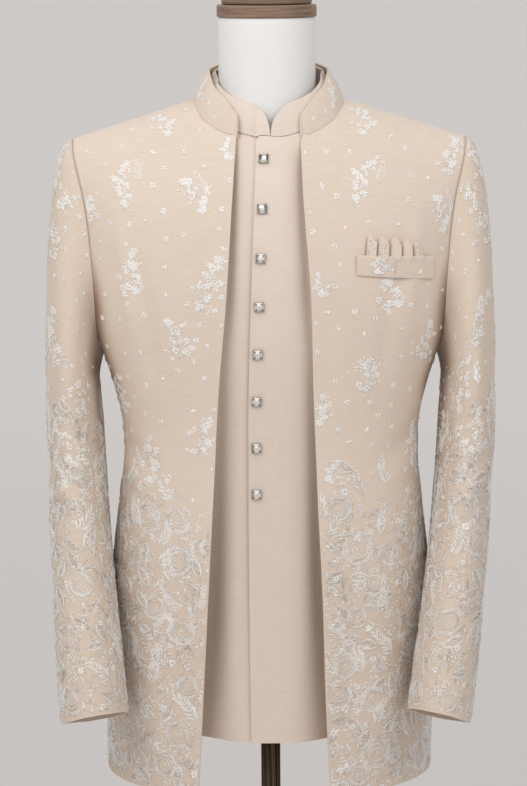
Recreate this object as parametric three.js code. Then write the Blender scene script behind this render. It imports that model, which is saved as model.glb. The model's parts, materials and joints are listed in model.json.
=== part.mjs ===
// A bandhgala on a dress form: an open, stand-collared jacket over its own
// buttoned, closed-necked inner front, worn by a limbless torso on a pole.
// Millimetres, +Z up, the front faces -Y, the origin is on the floor under the pole.
// "Right" and "left" are the wearer's: the wearer's right lies on the -X side.
import * as THREE from 'three';

// ---------- Driving dimensions ----------
const JACKET_WALL = 1.8;
const INNER_WALL = 1.4;
const SEAM_GAP = 0.3;
const LAYER_GAP = 0.9;
const OVERLAP_GAP = 1.8;

const HEM_HEIGHT = 672;
const INNER_HEM_HEIGHT = 731;
const UNDERARM_HEIGHT = 1160;
const SHOULDER_TIP = { x: 220, height: 1403 };
const SIDE_NECK = { x: 84, height: 1446 };
const BACK_NECK_HEIGHT = 1456;
const ARMHOLE_STEPS = 14;

const SHOULDER_ROUND = { front: 215, back: 200 };
const NAPE_RISE = 19;

const COLLAR_HEIGHT = 38;
const COLLAR_CORNER = 45;
const COLLAR_END_HEIGHT = 11;
const INNER_COLLAR_HEIGHT = 35;
const INNER_COLLAR_CORNER = 27;
const INNER_COLLAR_END_HEIGHT = 1.5;
const COLLAR_NOTCH_X = 1.5;

const PLACKET_TOP_X = -14;
const BUTTON_COUNT = 8;
const TOP_BUTTON_HEIGHT = 1387;
const BUTTON_SPACING = 53;
const BUTTON_FROM_EDGE = 9;
const BUTTON_HALF = 5.6;

const NECK_RADIUS = 54;
const NECK_CENTRE = { x: 0.8, y: -12 };
const NECK_TOP_HEIGHT = 1537;
const TORSO_BOTTOM_HEIGHT = 772;
const ARM_PLATE_X = 186;
const POLE_RADIUS = 11.3;
const FOOT_RADIUS = 180;
const FOOT_THICKNESS = 14;

// The garment hangs a little to one side of the pole: its middle at each height.
const LEAN = { hem: -1.5, above: 2.4, hemHeight: 690, fullHeight: 1050 };

// Level sections of the jacket: half its width, how far it stands out before and
// behind the side seams, and the power of its rounded oval. Above the underarm the
// width is that of the whole oval which the armhole cuts.
const bodySections = [
  { height: 672, halfWidth: 189.0, front: 136, back: 130, power: 2.05 },
  { height: 760, halfWidth: 188.5, front: 133, back: 127, power: 2.12 },
  { height: 893, halfWidth: 183.5, front: 126, back: 119, power: 2.28 },
  { height: 950, halfWidth: 177.0, front: 122, back: 111, power: 2.38 },
  { height: 1000, halfWidth: 171.0, front: 119, back: 105, power: 2.45 },
  { height: 1050, halfWidth: 167.5, front: 118, back: 101, power: 2.5 },
  { height: 1090, halfWidth: 170.0, front: 119, back: 101, power: 2.5 },
  { height: 1125, halfWidth: 178.0, front: 121, back: 104, power: 2.5 },
  { height: 1160, halfWidth: 189.0, front: 123, back: 108, power: 2.5 },
  { height: 1200, halfWidth: 203.0, front: 125, back: 111, power: 2.5 },
  { height: 1240, halfWidth: 210.0, front: 126, back: 113, power: 2.5 },
  { height: 1311, halfWidth: 224.0, front: 126, back: 114, power: 2.5 },
  { height: 1403, halfWidth: 254.0, front: 125, back: 112, power: 2.5 },
  { height: 1500, halfWidth: 280.0, front: 125, back: 110, power: 2.5 },
];

// The armhole seam, seen from the front.
const armholeLine = [
  { height: 1160, x: 189.0 },
  { height: 1176, x: 192.6 },
  { height: 1196, x: 194.4 },
  { height: 1250, x: 196.4 },
  { height: 1282, x: 198.6 },
  { height: 1313, x: 201.6 },
  { height: 1342, x: 206.2 },
  { height: 1367, x: 212.6 },
  { height: 1387, x: 217.6 },
  { height: 1403, x: 220.0 },
];

// The jacket's two free front edges, each measured out from the middle.
const frontEdges = [
  { height: 672, right: 80.5, left: 68.5 },
  { height: 787, right: 75.0, left: 62.3 },
  { height: 901, right: 69.6, left: 58.0 },
  { height: 1014, right: 64.0, left: 51.7 },
  { height: 1126, right: 57.8, left: 47.2 },
  { height: 1236, right: 48.0, left: 44.6 },
  { height: 1344, right: 40.7, left: 37.0 },
  { height: 1409, right: 36.0, left: 34.5 },
];

// The inner front's free edge, on the wearer's right of the middle.
const placketEdge = [
  { height: 731, x: -21 },
  { height: 853, x: -23 },
  { height: 1012, x: -25 },
  { height: 1125, x: -24.5 },
  { height: 1269, x: -19.5 },
  { height: 1411, x: PLACKET_TOP_X },
];

// The rows of a front panel above the underarm, from the bottom up: the height
// where each meets the front edge or the neckline, and the neckline's place there.
const yokeRows = [
  { edge: 1160 },
  { edge: 1187 },
  { edge: 1218 },
  { edge: 1249 },
  { edge: 1281 },
  { edge: 1313 },
  { edge: 1345 },
  { edge: 1377 },
  { edge: 1409, neck: 36, innerEdge: 1410.5, innerNeck: PLACKET_TOP_X },
  { edge: 1412.5, neck: 45, innerEdge: 1411.5, innerNeck: 14 },
  { edge: 1418.5, neck: 59, innerEdge: 1417.5, innerNeck: 38 },
  { edge: 1427, neck: 72, innerEdge: 1426, innerNeck: 58 },
  { edge: 1436, neck: 79, innerEdge: 1435.5, innerNeck: 71 },
  { edge: 1443, neck: 83, innerEdge: 1443, innerNeck: 77 },
  { edge: 1446, neck: 84, innerEdge: 1446, innerNeck: 78 },
];
const LOWEST_ROW = 15;
const skirtHeights = [735, 800, 850, 895, 940, 975, 1010, 1050, 1090, 1125];

// A sleeve from the upper arm to the cuff: its middle line and its half sizes.
const sleeveSections = [
  { height: 1130, x: 224.5, y: -6, halfWidth: 29.5, halfDepth: 83 },
  { height: 1085, x: 223.5, y: -10, halfWidth: 31.3, halfDepth: 80 },
  { height: 1040, x: 221.5, y: -19, halfWidth: 32.3, halfDepth: 76 },
  { height: 985, x: 218.0, y: -36, halfWidth: 33.3, halfDepth: 71 },
  { height: 930, x: 213.5, y: -59, halfWidth: 34.4, halfDepth: 65 },
  { height: 875, x: 208.0, y: -84, halfWidth: 35.8, halfDepth: 59 },
  { height: 820, x: 202.0, y: -108, halfWidth: 37.0, halfDepth: 54 },
  { height: 757, x: 195.0, y: -131, halfWidth: 37.8, halfDepth: 49 },
];
const SLEEVE_RINGS = 11;
const CUFF_HEIGHT = 763;
const CUFF_RISE = 5.5;
const CAP_ROWS = [0, 0.1, 0.23, 0.4, 0.6, 0.8];
const SLEEVE_FRONT_SEAM = 10;
const SLEEVE_HIND_SEAM = 18;
const arms = [
  { name: 'right', side: -1, swing: 0, girth: 1.01 },
  { name: 'left', side: 1, swing: -7.5, girth: 0.95 },
];

// The breast pocket's welt and the folded square above it: corners on the chest.
const welt = { innerX: 94.5, outerX: 180, innerTop: 1284, outerTop: 1278.5, innerDrop: 22, outerDrop: 25.5 };
const pocketSquare = {
  innerX: 103, outerX: 171, innerTop: 1309, outerTop: 1302, pleats: 6, fold: 2.6, endDrop: 16,
};
const PATCH_LIFT = 0.9;
const WELT_GAPE = 1.6;
const WELT_WALL = 1.6;
const SQUARE_WALL = 1.2;

// ---------- Small tools ----------
const clamp = THREE.MathUtils.clamp;
const lerp = THREE.MathUtils.lerp;

// A smooth curve through a table's rows, read at one height for every column.
function readTable(rows, height) {
  const [first, last] = [rows[0].height, rows.at(-1).height];
  const key = clamp(height, Math.min(first, last), Math.max(first, last));
  const rising = last > first;
  let i = 0;
  while (i < rows.length - 2 && (rising ? key > rows[i + 1].height : key < rows[i + 1].height)) i += 1;
  const [a, b] = [rows[i], rows[i + 1]];
  const [before, after] = [rows[Math.max(i - 1, 0)], rows[Math.min(i + 2, rows.length - 1)]];
  const span = b.height - a.height;
  const t = (key - a.height) / span;
  const reading = {};
  for (const column of Object.keys(a)) {
    const slopeA = ((b[column] - before[column]) / (b.height - before.height)) * span;
    const slopeB = ((after[column] - a[column]) / (after.height - a.height)) * span;
    reading[column] = (2 * t ** 3 - 3 * t ** 2 + 1) * a[column] + (t ** 3 - 2 * t ** 2 + t) * slopeA
      + (3 * t ** 2 - 2 * t ** 3) * b[column] + (t ** 3 - t ** 2) * slopeB;
  }
  return reading;
}

function leanAt(height) {
  const share = clamp((height - LEAN.hemHeight) / (LEAN.fullHeight - LEAN.hemHeight), 0, 1);
  return lerp(LEAN.hem, LEAN.above, share);
}

function place(x, y, height) {
  return new THREE.Vector3(x + leanAt(height), y, height);
}

// The ridge of the shoulder over a point; behind the neck it swells to the nape.
function ridgeHeight(face, x) {
  const slope = (SIDE_NECK.height - SHOULDER_TIP.height) / (SHOULDER_TIP.x - SIDE_NECK.x);
  const line = SIDE_NECK.height + slope * (SIDE_NECK.x - Math.abs(x));
  const inNeck = Math.max(0, 1 - (x / SIDE_NECK.x) ** 2);
  return face === 'back' ? line + NAPE_RISE * Math.sqrt(inNeck) : line;
}

// A point of the body's form. The plan is a rounded oval, drawn in to nothing
// under the shoulder ridge by a quarter circle; inset lies that far inside it.
function facePoint(face, x, height, inset = 0) {
  const section = readTable(bodySections, height);
  const across = Math.min(Math.abs(x) / (section.halfWidth - inset), 1);
  const plan = (1 - across ** section.power) ** (1 / section.power);
  const drop = clamp((ridgeHeight(face, x) - inset - height) / SHOULDER_ROUND[face], 0, 1);
  const depth = (section[face] - inset) * plan * Math.sqrt(1 - (1 - drop) ** 2);
  return place(x, face === 'front' ? -depth : depth, height);
}

function armholeHeight(step) {
  const middle = (SHOULDER_TIP.height + UNDERARM_HEIGHT) / 2;
  const half = (SHOULDER_TIP.height - UNDERARM_HEIGHT) / 2;
  return middle - half * Math.cos((Math.PI * step) / ARMHOLE_STEPS);
}

// How far inside the jacket's face the inner front lies: close at the shoulder,
// looser over the chest.
function innerInset(height) {
  const loose = THREE.MathUtils.smoothstep(1446 - height, 40, 150);
  return lerp(JACKET_WALL + LAYER_GAP, 7, loose);
}

// Below the chest the inner front and the form behind it stand back from the jacket, most
// beside its open edges; towards the side seams they come forward to it again.
const SETBACK = { deepest: 26, atMiddle: 0.45, from: 1230, full: 800, flank: 95, seam: 155 };
function setback(x, height, further = 0) {
  const { smoothstep } = THREE.MathUtils;
  const lower = 1 - smoothstep(height, SETBACK.full, SETBACK.from);
  const beside = lerp(SETBACK.atMiddle, 1, smoothstep(Math.abs(x), 30, 80));
  const inFlank = smoothstep(Math.abs(x), SETBACK.flank + further, SETBACK.seam + further);
  return SETBACK.deepest * lower * beside * (1 - inFlank);
}

// ---------- Walls ----------
// A grid runs rightwards along a row and upwards row by row, as seen from outside.
function gridNormals(grid, closed) {
  const lastColumn = grid[0].length - 1;
  return grid.map((row, j) => row.map((point, i) => {
    const left = closed ? row.at(i - 1) : row[Math.max(i - 1, 0)];
    const right = closed ? row[(i + 1) % row.length] : row[Math.min(i + 1, lastColumn)];
    const below = grid[Math.max(j - 1, 0)][i];
    const above = grid[Math.min(j + 1, grid.length - 1)][i];
    const along = new THREE.Vector3().subVectors(right, left);
    return along.cross(new THREE.Vector3().subVectors(above, below)).normalize();
  }));
}

function innerGrid(grid, normals, thickness) {
  const sink = (point, normal) => point.clone().addScaledVector(normal, -thickness);
  return grid.map((row, j) => row.map((point, i) => sink(point, normals[j][i])));
}

// Moves the end columns or rows of a grid towards their neighbours by half a seam gap.
function openSeams(grid, { columns = false, top = false } = {}) {
  const half = SEAM_GAP / 2;
  const nudge = (point, neighbour) => point.addScaledVector(
    new THREE.Vector3().subVectors(neighbour, point).normalize(), half);
  if (columns) {
    for (const row of grid) {
      nudge(row[0], row[1]);
      nudge(row.at(-1), row.at(-2));
    }
  }
  if (top) grid.at(-1).forEach((point, i) => nudge(point, grid.at(-2)[i]));
  return grid;
}

// One closed solid between an outer and an inner grid, with a rim all round.
function wallGeometry(outer, inner, closed = false) {
  const [rows, columns] = [outer.length, outer[0].length];
  const vertices = [...outer.flat(), ...inner.flat()].flatMap((p) => [p.x, p.y, p.z]);
  const out = (j, i) => j * columns + (i % columns);
  const inn = (j, i) => rows * columns + out(j, i);
  const faces = [];
  const quad = (a, b, c, d) => faces.push(a, b, c, a, c, d);
  const cells = closed ? columns : columns - 1;
  for (let j = 0; j < rows - 1; j += 1) {
    for (let i = 0; i < cells; i += 1) {
      quad(out(j, i), out(j, i + 1), out(j + 1, i + 1), out(j + 1, i));
      quad(inn(j, i), inn(j + 1, i), inn(j + 1, i + 1), inn(j, i + 1));
    }
    if (!closed) {
      quad(out(j, 0), out(j + 1, 0), inn(j + 1, 0), inn(j, 0));
      quad(out(j, cells), inn(j, cells), inn(j + 1, cells), out(j + 1, cells));
    }
  }
  for (let i = 0; i < cells; i += 1) {
    quad(out(0, i), inn(0, i), inn(0, i + 1), out(0, i + 1));
    quad(out(rows - 1, i), out(rows - 1, i + 1), inn(rows - 1, i + 1), inn(rows - 1, i));
  }
  return meshGeometry(vertices, faces);
}

// One closed solid from a stack of rings, with a flat fan at each end.
function stackGeometry(rings) {
  const count = rings[0].length;
  const points = rings.flat();
  const faces = [];
  for (let j = 0; j < rings.length - 1; j += 1) {
    for (let i = 0; i < count; i += 1) {
      const [a, b] = [j * count + i, j * count + ((i + 1) % count)];
      faces.push(a, b, b + count, a, b + count, a + count);
    }
  }
  const ends = [[0, true], [rings.length - 1, false]];
  for (const [ring, bottom] of ends) {
    const hub = points.length;
    const centre = rings[ring].reduce((sum, p) => sum.add(p), new THREE.Vector3()).divideScalar(count);
    points.push(centre);
    for (let i = 0; i < count; i += 1) {
      const [a, b] = [ring * count + i, ring * count + ((i + 1) % count)];
      faces.push(...(bottom ? [hub, b, a] : [hub, a, b]));
    }
  }
  return meshGeometry(points.flatMap((p) => [p.x, p.y, p.z]), faces);
}

function meshGeometry(vertices, faces) {
  const geometry = new THREE.BufferGeometry();
  geometry.setAttribute('position', new THREE.Float32BufferAttribute(vertices, 3));
  geometry.setIndex(faces);
  geometry.computeVertexNormals();
  return geometry;
}

function turned(profile, sides) {
  const geometry = new THREE.LatheGeometry(profile.map(([r, z]) => new THREE.Vector2(r, z)), sides);
  return geometry.rotateX(Math.PI / 2);
}

// ---------- Materials ----------
function finish(color, roughness, metalness = 0) {
  return new THREE.MeshStandardMaterial({ color, roughness, metalness });
}
const jacketCloth = finish('#d8c9b6', 0.78);
const innerCloth = finish('#d3c2b1', 0.74);
const squareCloth = finish('#e0d4c4', 0.75);
const crystal = finish('#8d8a86', 0.3, 0.6);
const formCover = finish('#e9e5df', 0.8);
const walnut = finish('#5a3d2b', 0.5);
const bronze = finish('#3b3029', 0.4, 0.8);

const garment = new THREE.Group();
const dressForm = new THREE.Group();
function addPiece(group, name, geometry, material) {
  const mesh = new THREE.Mesh(geometry, material);
  mesh.name = name;
  group.add(mesh);
  return mesh;
}

// ---------- Front panels ----------
// Each row runs from the free edge or the neckline out to the side seam or armhole.
// The places of its columns follow the oval, so that they crowd at the side.
function frontGrid({ side, hem, columns, edgeX, neckRow, insetAt, setbackAt }) {
  const rows = [hem, ...skirtHeights.filter((height) => height > hem + LOWEST_ROW)].map((height) => ({
    edge: height,
    arm: height,
    edgePlace: edgeX(height),
    armPlace: readTable(bodySections, height).halfWidth,
    share: 0,
  }));
  yokeRows.forEach((row, step) => rows.push({
    edge: neckRow(row).height ?? row.edge,
    arm: armholeHeight(step),
    edgePlace: neckRow(row).x ?? edgeX(row.edge),
    armPlace: readTable(armholeLine, armholeHeight(step)).x,
    share: step / ARMHOLE_STEPS,
  }));
  return rows.map((row) => {
    const inset = insetAt(row.arm);
    const [from, to] = [row.edgePlace, row.armPlace - inset];
    const section = readTable(bodySections, row.arm);
    const width = section.halfWidth - inset;
    const turnOf = (x) => Math.asin(Math.min(Math.abs(x) / width, 1) ** (section.power / 2));
    const angleOf = (x) => Math.sign(x) * turnOf(x);
    const points = Array.from({ length: columns + 1 }, (_, i) => {
      const angle = lerp(angleOf(from), angleOf(to), i / columns);
      const x = Math.sign(angle) * width * Math.abs(Math.sin(angle)) ** (2 / section.power);
      const height = lerp(row.edge, row.arm, (x - from) / (to - from));
      const sunk = height - insetAt(height) * row.share;
      const point = facePoint('front', side * x, row.share === 0 ? height : sunk, insetAt(height));
      point.y += setbackAt(x, height);
      return point;
    });
    return side > 0 ? points : points.reverse();
  });
}

// The outermost column and the top row face straight out, so that the panels meet square.
function panelNormals(grid, sideColumn) {
  const normals = gridNormals(grid, false);
  const squareUp = (normal) => normal.setY(0).normalize();
  skirtHeights.forEach((_, j) => squareUp(normals[j][sideColumn]));
  normals.at(-1).forEach(squareUp);
  return normals;
}

function frontPanel(options, thickness) {
  const grid = frontGrid(options);
  const sideColumn = options.side > 0 ? options.columns : 0;
  const inner = innerGrid(grid, panelNormals(grid, sideColumn), thickness);
  const settings = { columns: true, top: true };
  return wallGeometry(openSeams(grid, settings), openSeams(inner, settings));
}

const jacketFronts = [
  { name: 'jacket_front_right', side: -1, edgeX: (height) => readTable(frontEdges, height).right },
  { name: 'jacket_front_left', side: 1, edgeX: (height) => readTable(frontEdges, height).left },
];
for (const { name, side, edgeX } of jacketFronts) {
  const neckRow = (row) => ({ x: row.neck });
  const ownFace = { insetAt: () => 0, setbackAt: () => 0 };
  const shape = { side, hem: HEM_HEIGHT, columns: 11, edgeX, neckRow, ...ownFace };
  addPiece(garment, name, frontPanel(shape, JACKET_WALL), jacketCloth);
}

// ---------- Inner front: the buttoned upper layer over the under layer ----------
const underInset = (height) => innerInset(height) + INNER_WALL + OVERLAP_GAP;
const UNDER_NECK_RISE = 4;
const placketAt = (height) => readTable(placketEdge, height).x;
const underEdge = () => PLACKET_TOP_X;
const innerFronts = [
  { name: 'inner_front_left', side: 1, insetAt: innerInset, edgeX: placketAt, rise: 0 },
  { name: 'inner_front_right', side: -1, insetAt: underInset, edgeX: underEdge, rise: UNDER_NECK_RISE },
];
let upperFront;
let upperPanel;
for (const { name, side, insetAt, edgeX, rise } of innerFronts) {
  const riseAt = (x) => rise * (1 - THREE.MathUtils.smoothstep(x, 38, 71));
  const neckPlace = (row) => ({ height: row.innerEdge + riseAt(row.innerNeck), x: row.innerNeck });
  const neckRow = (row) => (row.neck ? neckPlace(row) : {});
  const shape = { side, hem: INNER_HEM_HEIGHT, columns: 9, edgeX, neckRow, insetAt, setbackAt: setback };
  const panel = addPiece(garment, name, frontPanel(shape, INNER_WALL), innerCloth);
  if (side > 0) [upperFront, upperPanel] = [frontGrid(shape), panel];
}

// ---------- Back ----------
// The top row follows both shoulder seams and, between them, the back neckline.
const backPlaces = [-1, -0.93, -0.84, -0.73, -0.61, -0.49, -0.382, -0.33, -0.25, -0.16, -0.08, 0];
const backColumns = [...backPlaces, ...backPlaces.slice(0, -1).reverse().map((place) => -place)];

function backTopHeight(x) {
  const inNeck = Math.max(0, 1 - (x / SIDE_NECK.x) ** 2);
  return Math.abs(x) < SIDE_NECK.x
    ? SIDE_NECK.height + (BACK_NECK_HEIGHT - SIDE_NECK.height) * inNeck
    : ridgeHeight('front', x);
}

function backGrid() {
  const skirt = [HEM_HEIGHT, ...skirtHeights].map((height) => ({
    arm: height, reach: readTable(bodySections, height).halfWidth, share: 0,
  }));
  const yoke = yokeRows.map((_, step) => ({
    arm: armholeHeight(step),
    reach: readTable(armholeLine, armholeHeight(step)).x,
    share: step / ARMHOLE_STEPS,
  }));
  const pointAt = ({ arm, reach, share }, column) => {
    const { halfWidth: width, power } = readTable(bodySections, arm);
    const full = Math.asin(Math.min(reach / width, 1) ** (power / 2));
    const angle = full * Math.abs(column);
    const spread = Math.sign(column) * width * Math.sin(angle) ** (2 / power);
    const x = -lerp(spread, column * reach, share ** 2);
    const rise = backTopHeight(x / reach * SHOULDER_TIP.x) - SHOULDER_TIP.height;
    return facePoint('back', x, arm + rise * share ** 1.5);
  };
  return [...skirt, ...yoke].map((row) => backColumns.map((column) => pointAt(row, column)));
}
const back = backGrid();
const backNormals = gridNormals(back, false);
[HEM_HEIGHT, ...skirtHeights, UNDERARM_HEIGHT].forEach((_, j) => {
  backNormals[j][0].setY(0).normalize();
  backNormals[j].at(-1).setY(0).normalize();
});
backNormals.at(-1).forEach((normal, i) => {
  if (Math.abs(back.at(-1)[i].y) < 1) normal.setY(0).normalize();
});
const backNeckline = back.at(-1)
  .filter((point) => Math.abs(point.x - leanAt(point.z)) <= SIDE_NECK.x + 0.5)
  .map((point) => point.clone());
const backInner = innerGrid(back, backNormals, JACKET_WALL);
const backSeams = { columns: true, top: true };
const backWall = wallGeometry(openSeams(back, backSeams), openSeams(backInner, backSeams));
addPiece(garment, 'jacket_back', backWall, jacketCloth);

// ---------- Sleeves: a top sleeve and an under sleeve to each arm ----------
// The cap swells out from the armhole seam; below the upper arm each ring stands
// square to the sleeve's middle line, which bends forward at the elbow.
function armholePoint(side, angle) {
  const height = lerp(UNDERARM_HEIGHT, SHOULDER_TIP.height, (1 + Math.cos(angle)) / 2);
  const face = angle <= Math.PI ? 'front' : 'back';
  return facePoint(face, side * readTable(armholeLine, height).x, height);
}

function sleeveMiddle(arm, height) {
  const section = readTable(sleeveSections, height);
  const [upper, cuff] = [sleeveSections[0].height, sleeveSections.at(-1).height];
  const hang = (upper - height) / (upper - cuff);
  return place(arm.side * (section.x + arm.swing * hang ** 2), section.y, height);
}

// A sleeve thins a little towards its cuff by its own girth.
function sleevePoint(arm, height, angle) {
  const section = readTable(sleeveSections, height);
  const hang = (sleeveSections[0].height - height) / (sleeveSections[0].height - CUFF_HEIGHT);
  const girth = lerp(1, arm.girth, clamp(hang, 0, 1));
  const down = sleeveMiddle(arm, height - 8).sub(sleeveMiddle(arm, height + 8)).normalize();
  const outward = new THREE.Vector3(arm.side, 0, 0).addScaledVector(down, -down.x * arm.side).normalize();
  const forward = new THREE.Vector3().crossVectors(outward, down).multiplyScalar(arm.side);
  if (forward.y > 0) forward.negate();
  return sleeveMiddle(arm, height)
    .addScaledVector(outward, girth * section.halfWidth * Math.cos(angle))
    .addScaledVector(forward, section.halfDepth * Math.sin(angle));
}

// The cuff is cut to rise a little towards the body.
function sleeveRing(arm, share, angles) {
  const cuffAt = (angle) => CUFF_HEIGHT + (CUFF_RISE * (1 - Math.cos(angle))) / 2;
  return angles.map((angle) => sleevePoint(arm, lerp(sleeveSections[0].height, cuffAt(angle), share), angle));
}

function capRing(arm, share, angles) {
  const upperArm = sleeveRing(arm, 0, angles);
  return angles.map((angle, i) => {
    const top = Math.cos(angle / 2) ** 2;
    const away = new THREE.Vector3(arm.side * (0.35 + 0.65 * top), 0, -1.1 + top).normalize();
    const start = armholePoint(arm.side, angle).add(new THREE.Vector3(arm.side * SEAM_GAP, 0, 0));
    const curve = new THREE.CubicBezierCurve3(
      start,
      start.clone().addScaledVector(away, 8 + 20 * top),
      upperArm[i].clone().add(new THREE.Vector3(0, 0, 10 + 115 * top)),
      upperArm[i],
    );
    return curve.getPoint(share);
  });
}

function sleeveGrids(arm) {
  const turns = 2 * ARMHOLE_STEPS;
  const angles = Array.from({ length: turns }, (_, i) => (2 * Math.PI * i) / turns);
  const rings = CAP_ROWS.map((share) => capRing(arm, share, angles));
  for (let i = 0; i <= SLEEVE_RINGS; i += 1) rings.push(sleeveRing(arm, i / SLEEVE_RINGS, angles));
  const grid = rings.reverse().map((ring) => (arm.side < 0 ? ring : ring.reverse()));
  return { grid, inner: innerGrid(grid, gridNormals(grid, true), JACKET_WALL) };
}

// A stretch of a closed ring grid, from one column round to another.
function stretch(grid, from, to) {
  const count = ((to - from + grid[0].length) % grid[0].length) + 1;
  return grid.map((row) => Array.from({ length: count }, (_, i) => row[(from + i) % row.length].clone()));
}

for (const arm of arms) {
  const { grid, inner } = sleeveGrids(arm);
  const mirrored = (column) => (arm.side < 0 ? column : 2 * ARMHOLE_STEPS - 1 - column);
  const seams = [mirrored(SLEEVE_FRONT_SEAM), mirrored(SLEEVE_HIND_SEAM)];
  const [underFrom, underTo] = arm.side < 0 ? seams : [seams[1], seams[0]];
  const panel = (layer, from, to) => openSeams(stretch(layer, from, to), { columns: true });
  const cut = (from, to) => wallGeometry(panel(grid, from, to), panel(inner, from, to));
  addPiece(garment, `top_sleeve_${arm.name}`, cut(underTo, underFrom), jacketCloth);
  addPiece(garment, `under_sleeve_${arm.name}`, cut(underFrom, underTo), jacketCloth);
}

// ---------- Collars ----------
// A stand collar rises from the neckline and leans in towards the neck. Its front
// corners are rounded: the band's height there follows a quarter circle.
function collarGrid(base, { height, corner, lowest, gap, lean, sideLean, rows = 4 }) {
  const along = [0];
  base.slice(1).forEach((point, i) => along.push(along[i] + point.distanceTo(base[i])));
  return Array.from({ length: rows }, (_, j) => base.map((point, i) => {
    const fromEnd = Math.min(along[i], along.at(-1) - along[i], corner);
    const roundness = Math.sqrt(Math.max(0, 1 - ((corner - fromEnd) / corner) ** 2));
    const stand = lerp(lowest, height, roundness) / height;
    const neckAxis = new THREE.Vector3(leanAt(point.z), NECK_CENTRE.y, point.z);
    const inward = new THREE.Vector3().subVectors(neckAxis, point).normalize();
    const beside = Math.min(1, Math.abs(point.x - neckAxis.x) / SIDE_NECK.x) ** 2;
    const level = (j / (rows - 1)) * stand;
    const bow = 1.5 * Math.sin(Math.PI * level);
    return point.clone()
      .addScaledVector(inward, (lean + sideLean * beside) * level - bow)
      .add(new THREE.Vector3(0, 0, gap + (height - 1.5 - 3.5 * beside) * level));
  }));
}

function collar(base, options, thickness) {
  const grid = collarGrid(base, options);
  return wallGeometry(grid, innerGrid(grid, gridNormals(grid, false), thickness));
}

const jacketNeckline = (side) => yokeRows.filter((row) => row.neck).map(
  (row) => facePoint('front', side * row.neck, row.edge));
const jacketCollarBase = [
  ...jacketNeckline(1), ...backNeckline.slice(1, -1), ...jacketNeckline(-1).reverse(),
];
addPiece(garment, 'jacket_collar', collar(jacketCollarBase, {
  height: COLLAR_HEIGHT, corner: COLLAR_CORNER, lowest: COLLAR_END_HEIGHT,
  gap: SEAM_GAP, lean: 11, sideLean: 8,
}, JACKET_WALL), jacketCloth);

// The inner collar closes at the throat, where its two rounded ends meet in a notch.
const innerNeckline = upperFront.slice(-yokeRows.filter((row) => row.neck).length).map((row) => row[0]);
function innerNeckPoint(x, side) {
  const middle = innerNeckline[0].x - PLACKET_TOP_X;
  const beyond = side < 0 && x < PLACKET_TOP_X;
  const reach = (beyond ? -x : x) + middle;
  const i = Math.max(0, innerNeckline.findIndex((point) => point.x > reach) - 1);
  const [a, b] = [innerNeckline[i], innerNeckline[i + 1]];
  const point = a.clone().lerp(b, (reach - a.x) / (b.x - a.x));
  return beyond ? point.setX(2 * middle - point.x) : point;
}
const innerPlaces = [0, 2, 6, 12, 20, 31, 44, 57, 67, 74].map((step) => step + 0.4);
const innerBack = backNeckline.slice(1, -1).map((point) => {
  const inward = new THREE.Vector3(leanAt(point.z), NECK_CENTRE.y, point.z).sub(point).normalize();
  return point.addScaledVector(inward, 5);
});
const innerCollarBase = [
  ...innerPlaces.map((step) => innerNeckPoint(COLLAR_NOTCH_X + step, 1)),
  ...innerBack,
  ...innerPlaces.map((step) => innerNeckPoint(COLLAR_NOTCH_X - step, -1)).reverse(),
];
addPiece(garment, 'inner_collar', collar(innerCollarBase, {
  height: INNER_COLLAR_HEIGHT, corner: INNER_COLLAR_CORNER, lowest: INNER_COLLAR_END_HEIGHT,
  gap: 2 * SEAM_GAP, lean: 9, sideLean: 9,
}, INNER_WALL), innerCloth);

// ---------- Breast pocket: a welt, and a pleated square above it ----------
function chestPatch({ columns, rows, placeAt, liftAt, thickness }) {
  const pointAt = (u, v, extra) => {
    const { x, height } = placeAt(u, v);
    return facePoint('front', x, height, -(liftAt(u, v) + extra));
  };
  const layer = (extra) => Array.from({ length: rows + 1 }, (_, j) => (
    Array.from({ length: columns + 1 }, (_, i) => pointAt(i / columns, j / rows, extra))));
  return wallGeometry(layer(thickness), layer(0));
}

const weltTop = (share) => lerp(welt.innerTop, welt.outerTop, share);
addPiece(garment, 'pocket_welt', chestPatch({
  columns: 8,
  rows: 3,
  thickness: WELT_WALL,
  placeAt: (u, v) => ({
    x: lerp(welt.innerX, welt.outerX, u),
    height: weltTop(u) - lerp(welt.innerDrop, welt.outerDrop, u) * (1 - v),
  }),
  liftAt: (u, v) => PATCH_LIFT + WELT_GAPE * v,
}), jacketCloth);

const pleatPhase = (u) => (u * pocketSquare.pleats) % 1;
addPiece(garment, 'pocket_square', chestPatch({
  columns: pocketSquare.pleats * 4,
  rows: 3,
  thickness: SQUARE_WALL,
  placeAt: (u, v) => {
    const x = lerp(pocketSquare.innerX, pocketSquare.outerX, u);
    const foot = weltTop((x - welt.innerX) / (welt.outerX - welt.innerX)) + SEAM_GAP;
    const crest = lerp(pocketSquare.innerTop, pocketSquare.outerTop, u);
    const slope = pocketSquare.endDrop * THREE.MathUtils.smoothstep(u, 0.8, 1);
    return { x, height: lerp(foot, crest - slope, v) };
  },
  liftAt: (u, v) => PATCH_LIFT + pocketSquare.fold * Math.sin(Math.PI * pleatPhase(u)) * (0.6 + 0.4 * v),
}), squareCloth);

// ---------- Buttons: square cut stones in claw settings, down the placket ----------
// Where a panel's outer facets lie at a place seen from the front.
function panelPoint(panel, x, height) {
  const sight = new THREE.Raycaster(new THREE.Vector3(x, -400, height), new THREE.Vector3(0, 1, 0));
  return sight.intersectObject(panel)[0].point;
}

// A square stone from its base out to its table: corner radius, height.
const stoneCorner = BUTTON_HALF * Math.SQRT2;
const stoneProfile = [
  [0, 0], [stoneCorner * 0.8, 0], [stoneCorner, 1.6], [stoneCorner, 2.6], [stoneCorner * 0.55, 4.8], [0, 5.2],
].map(([radius, height]) => new THREE.Vector2(radius, height));

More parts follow.
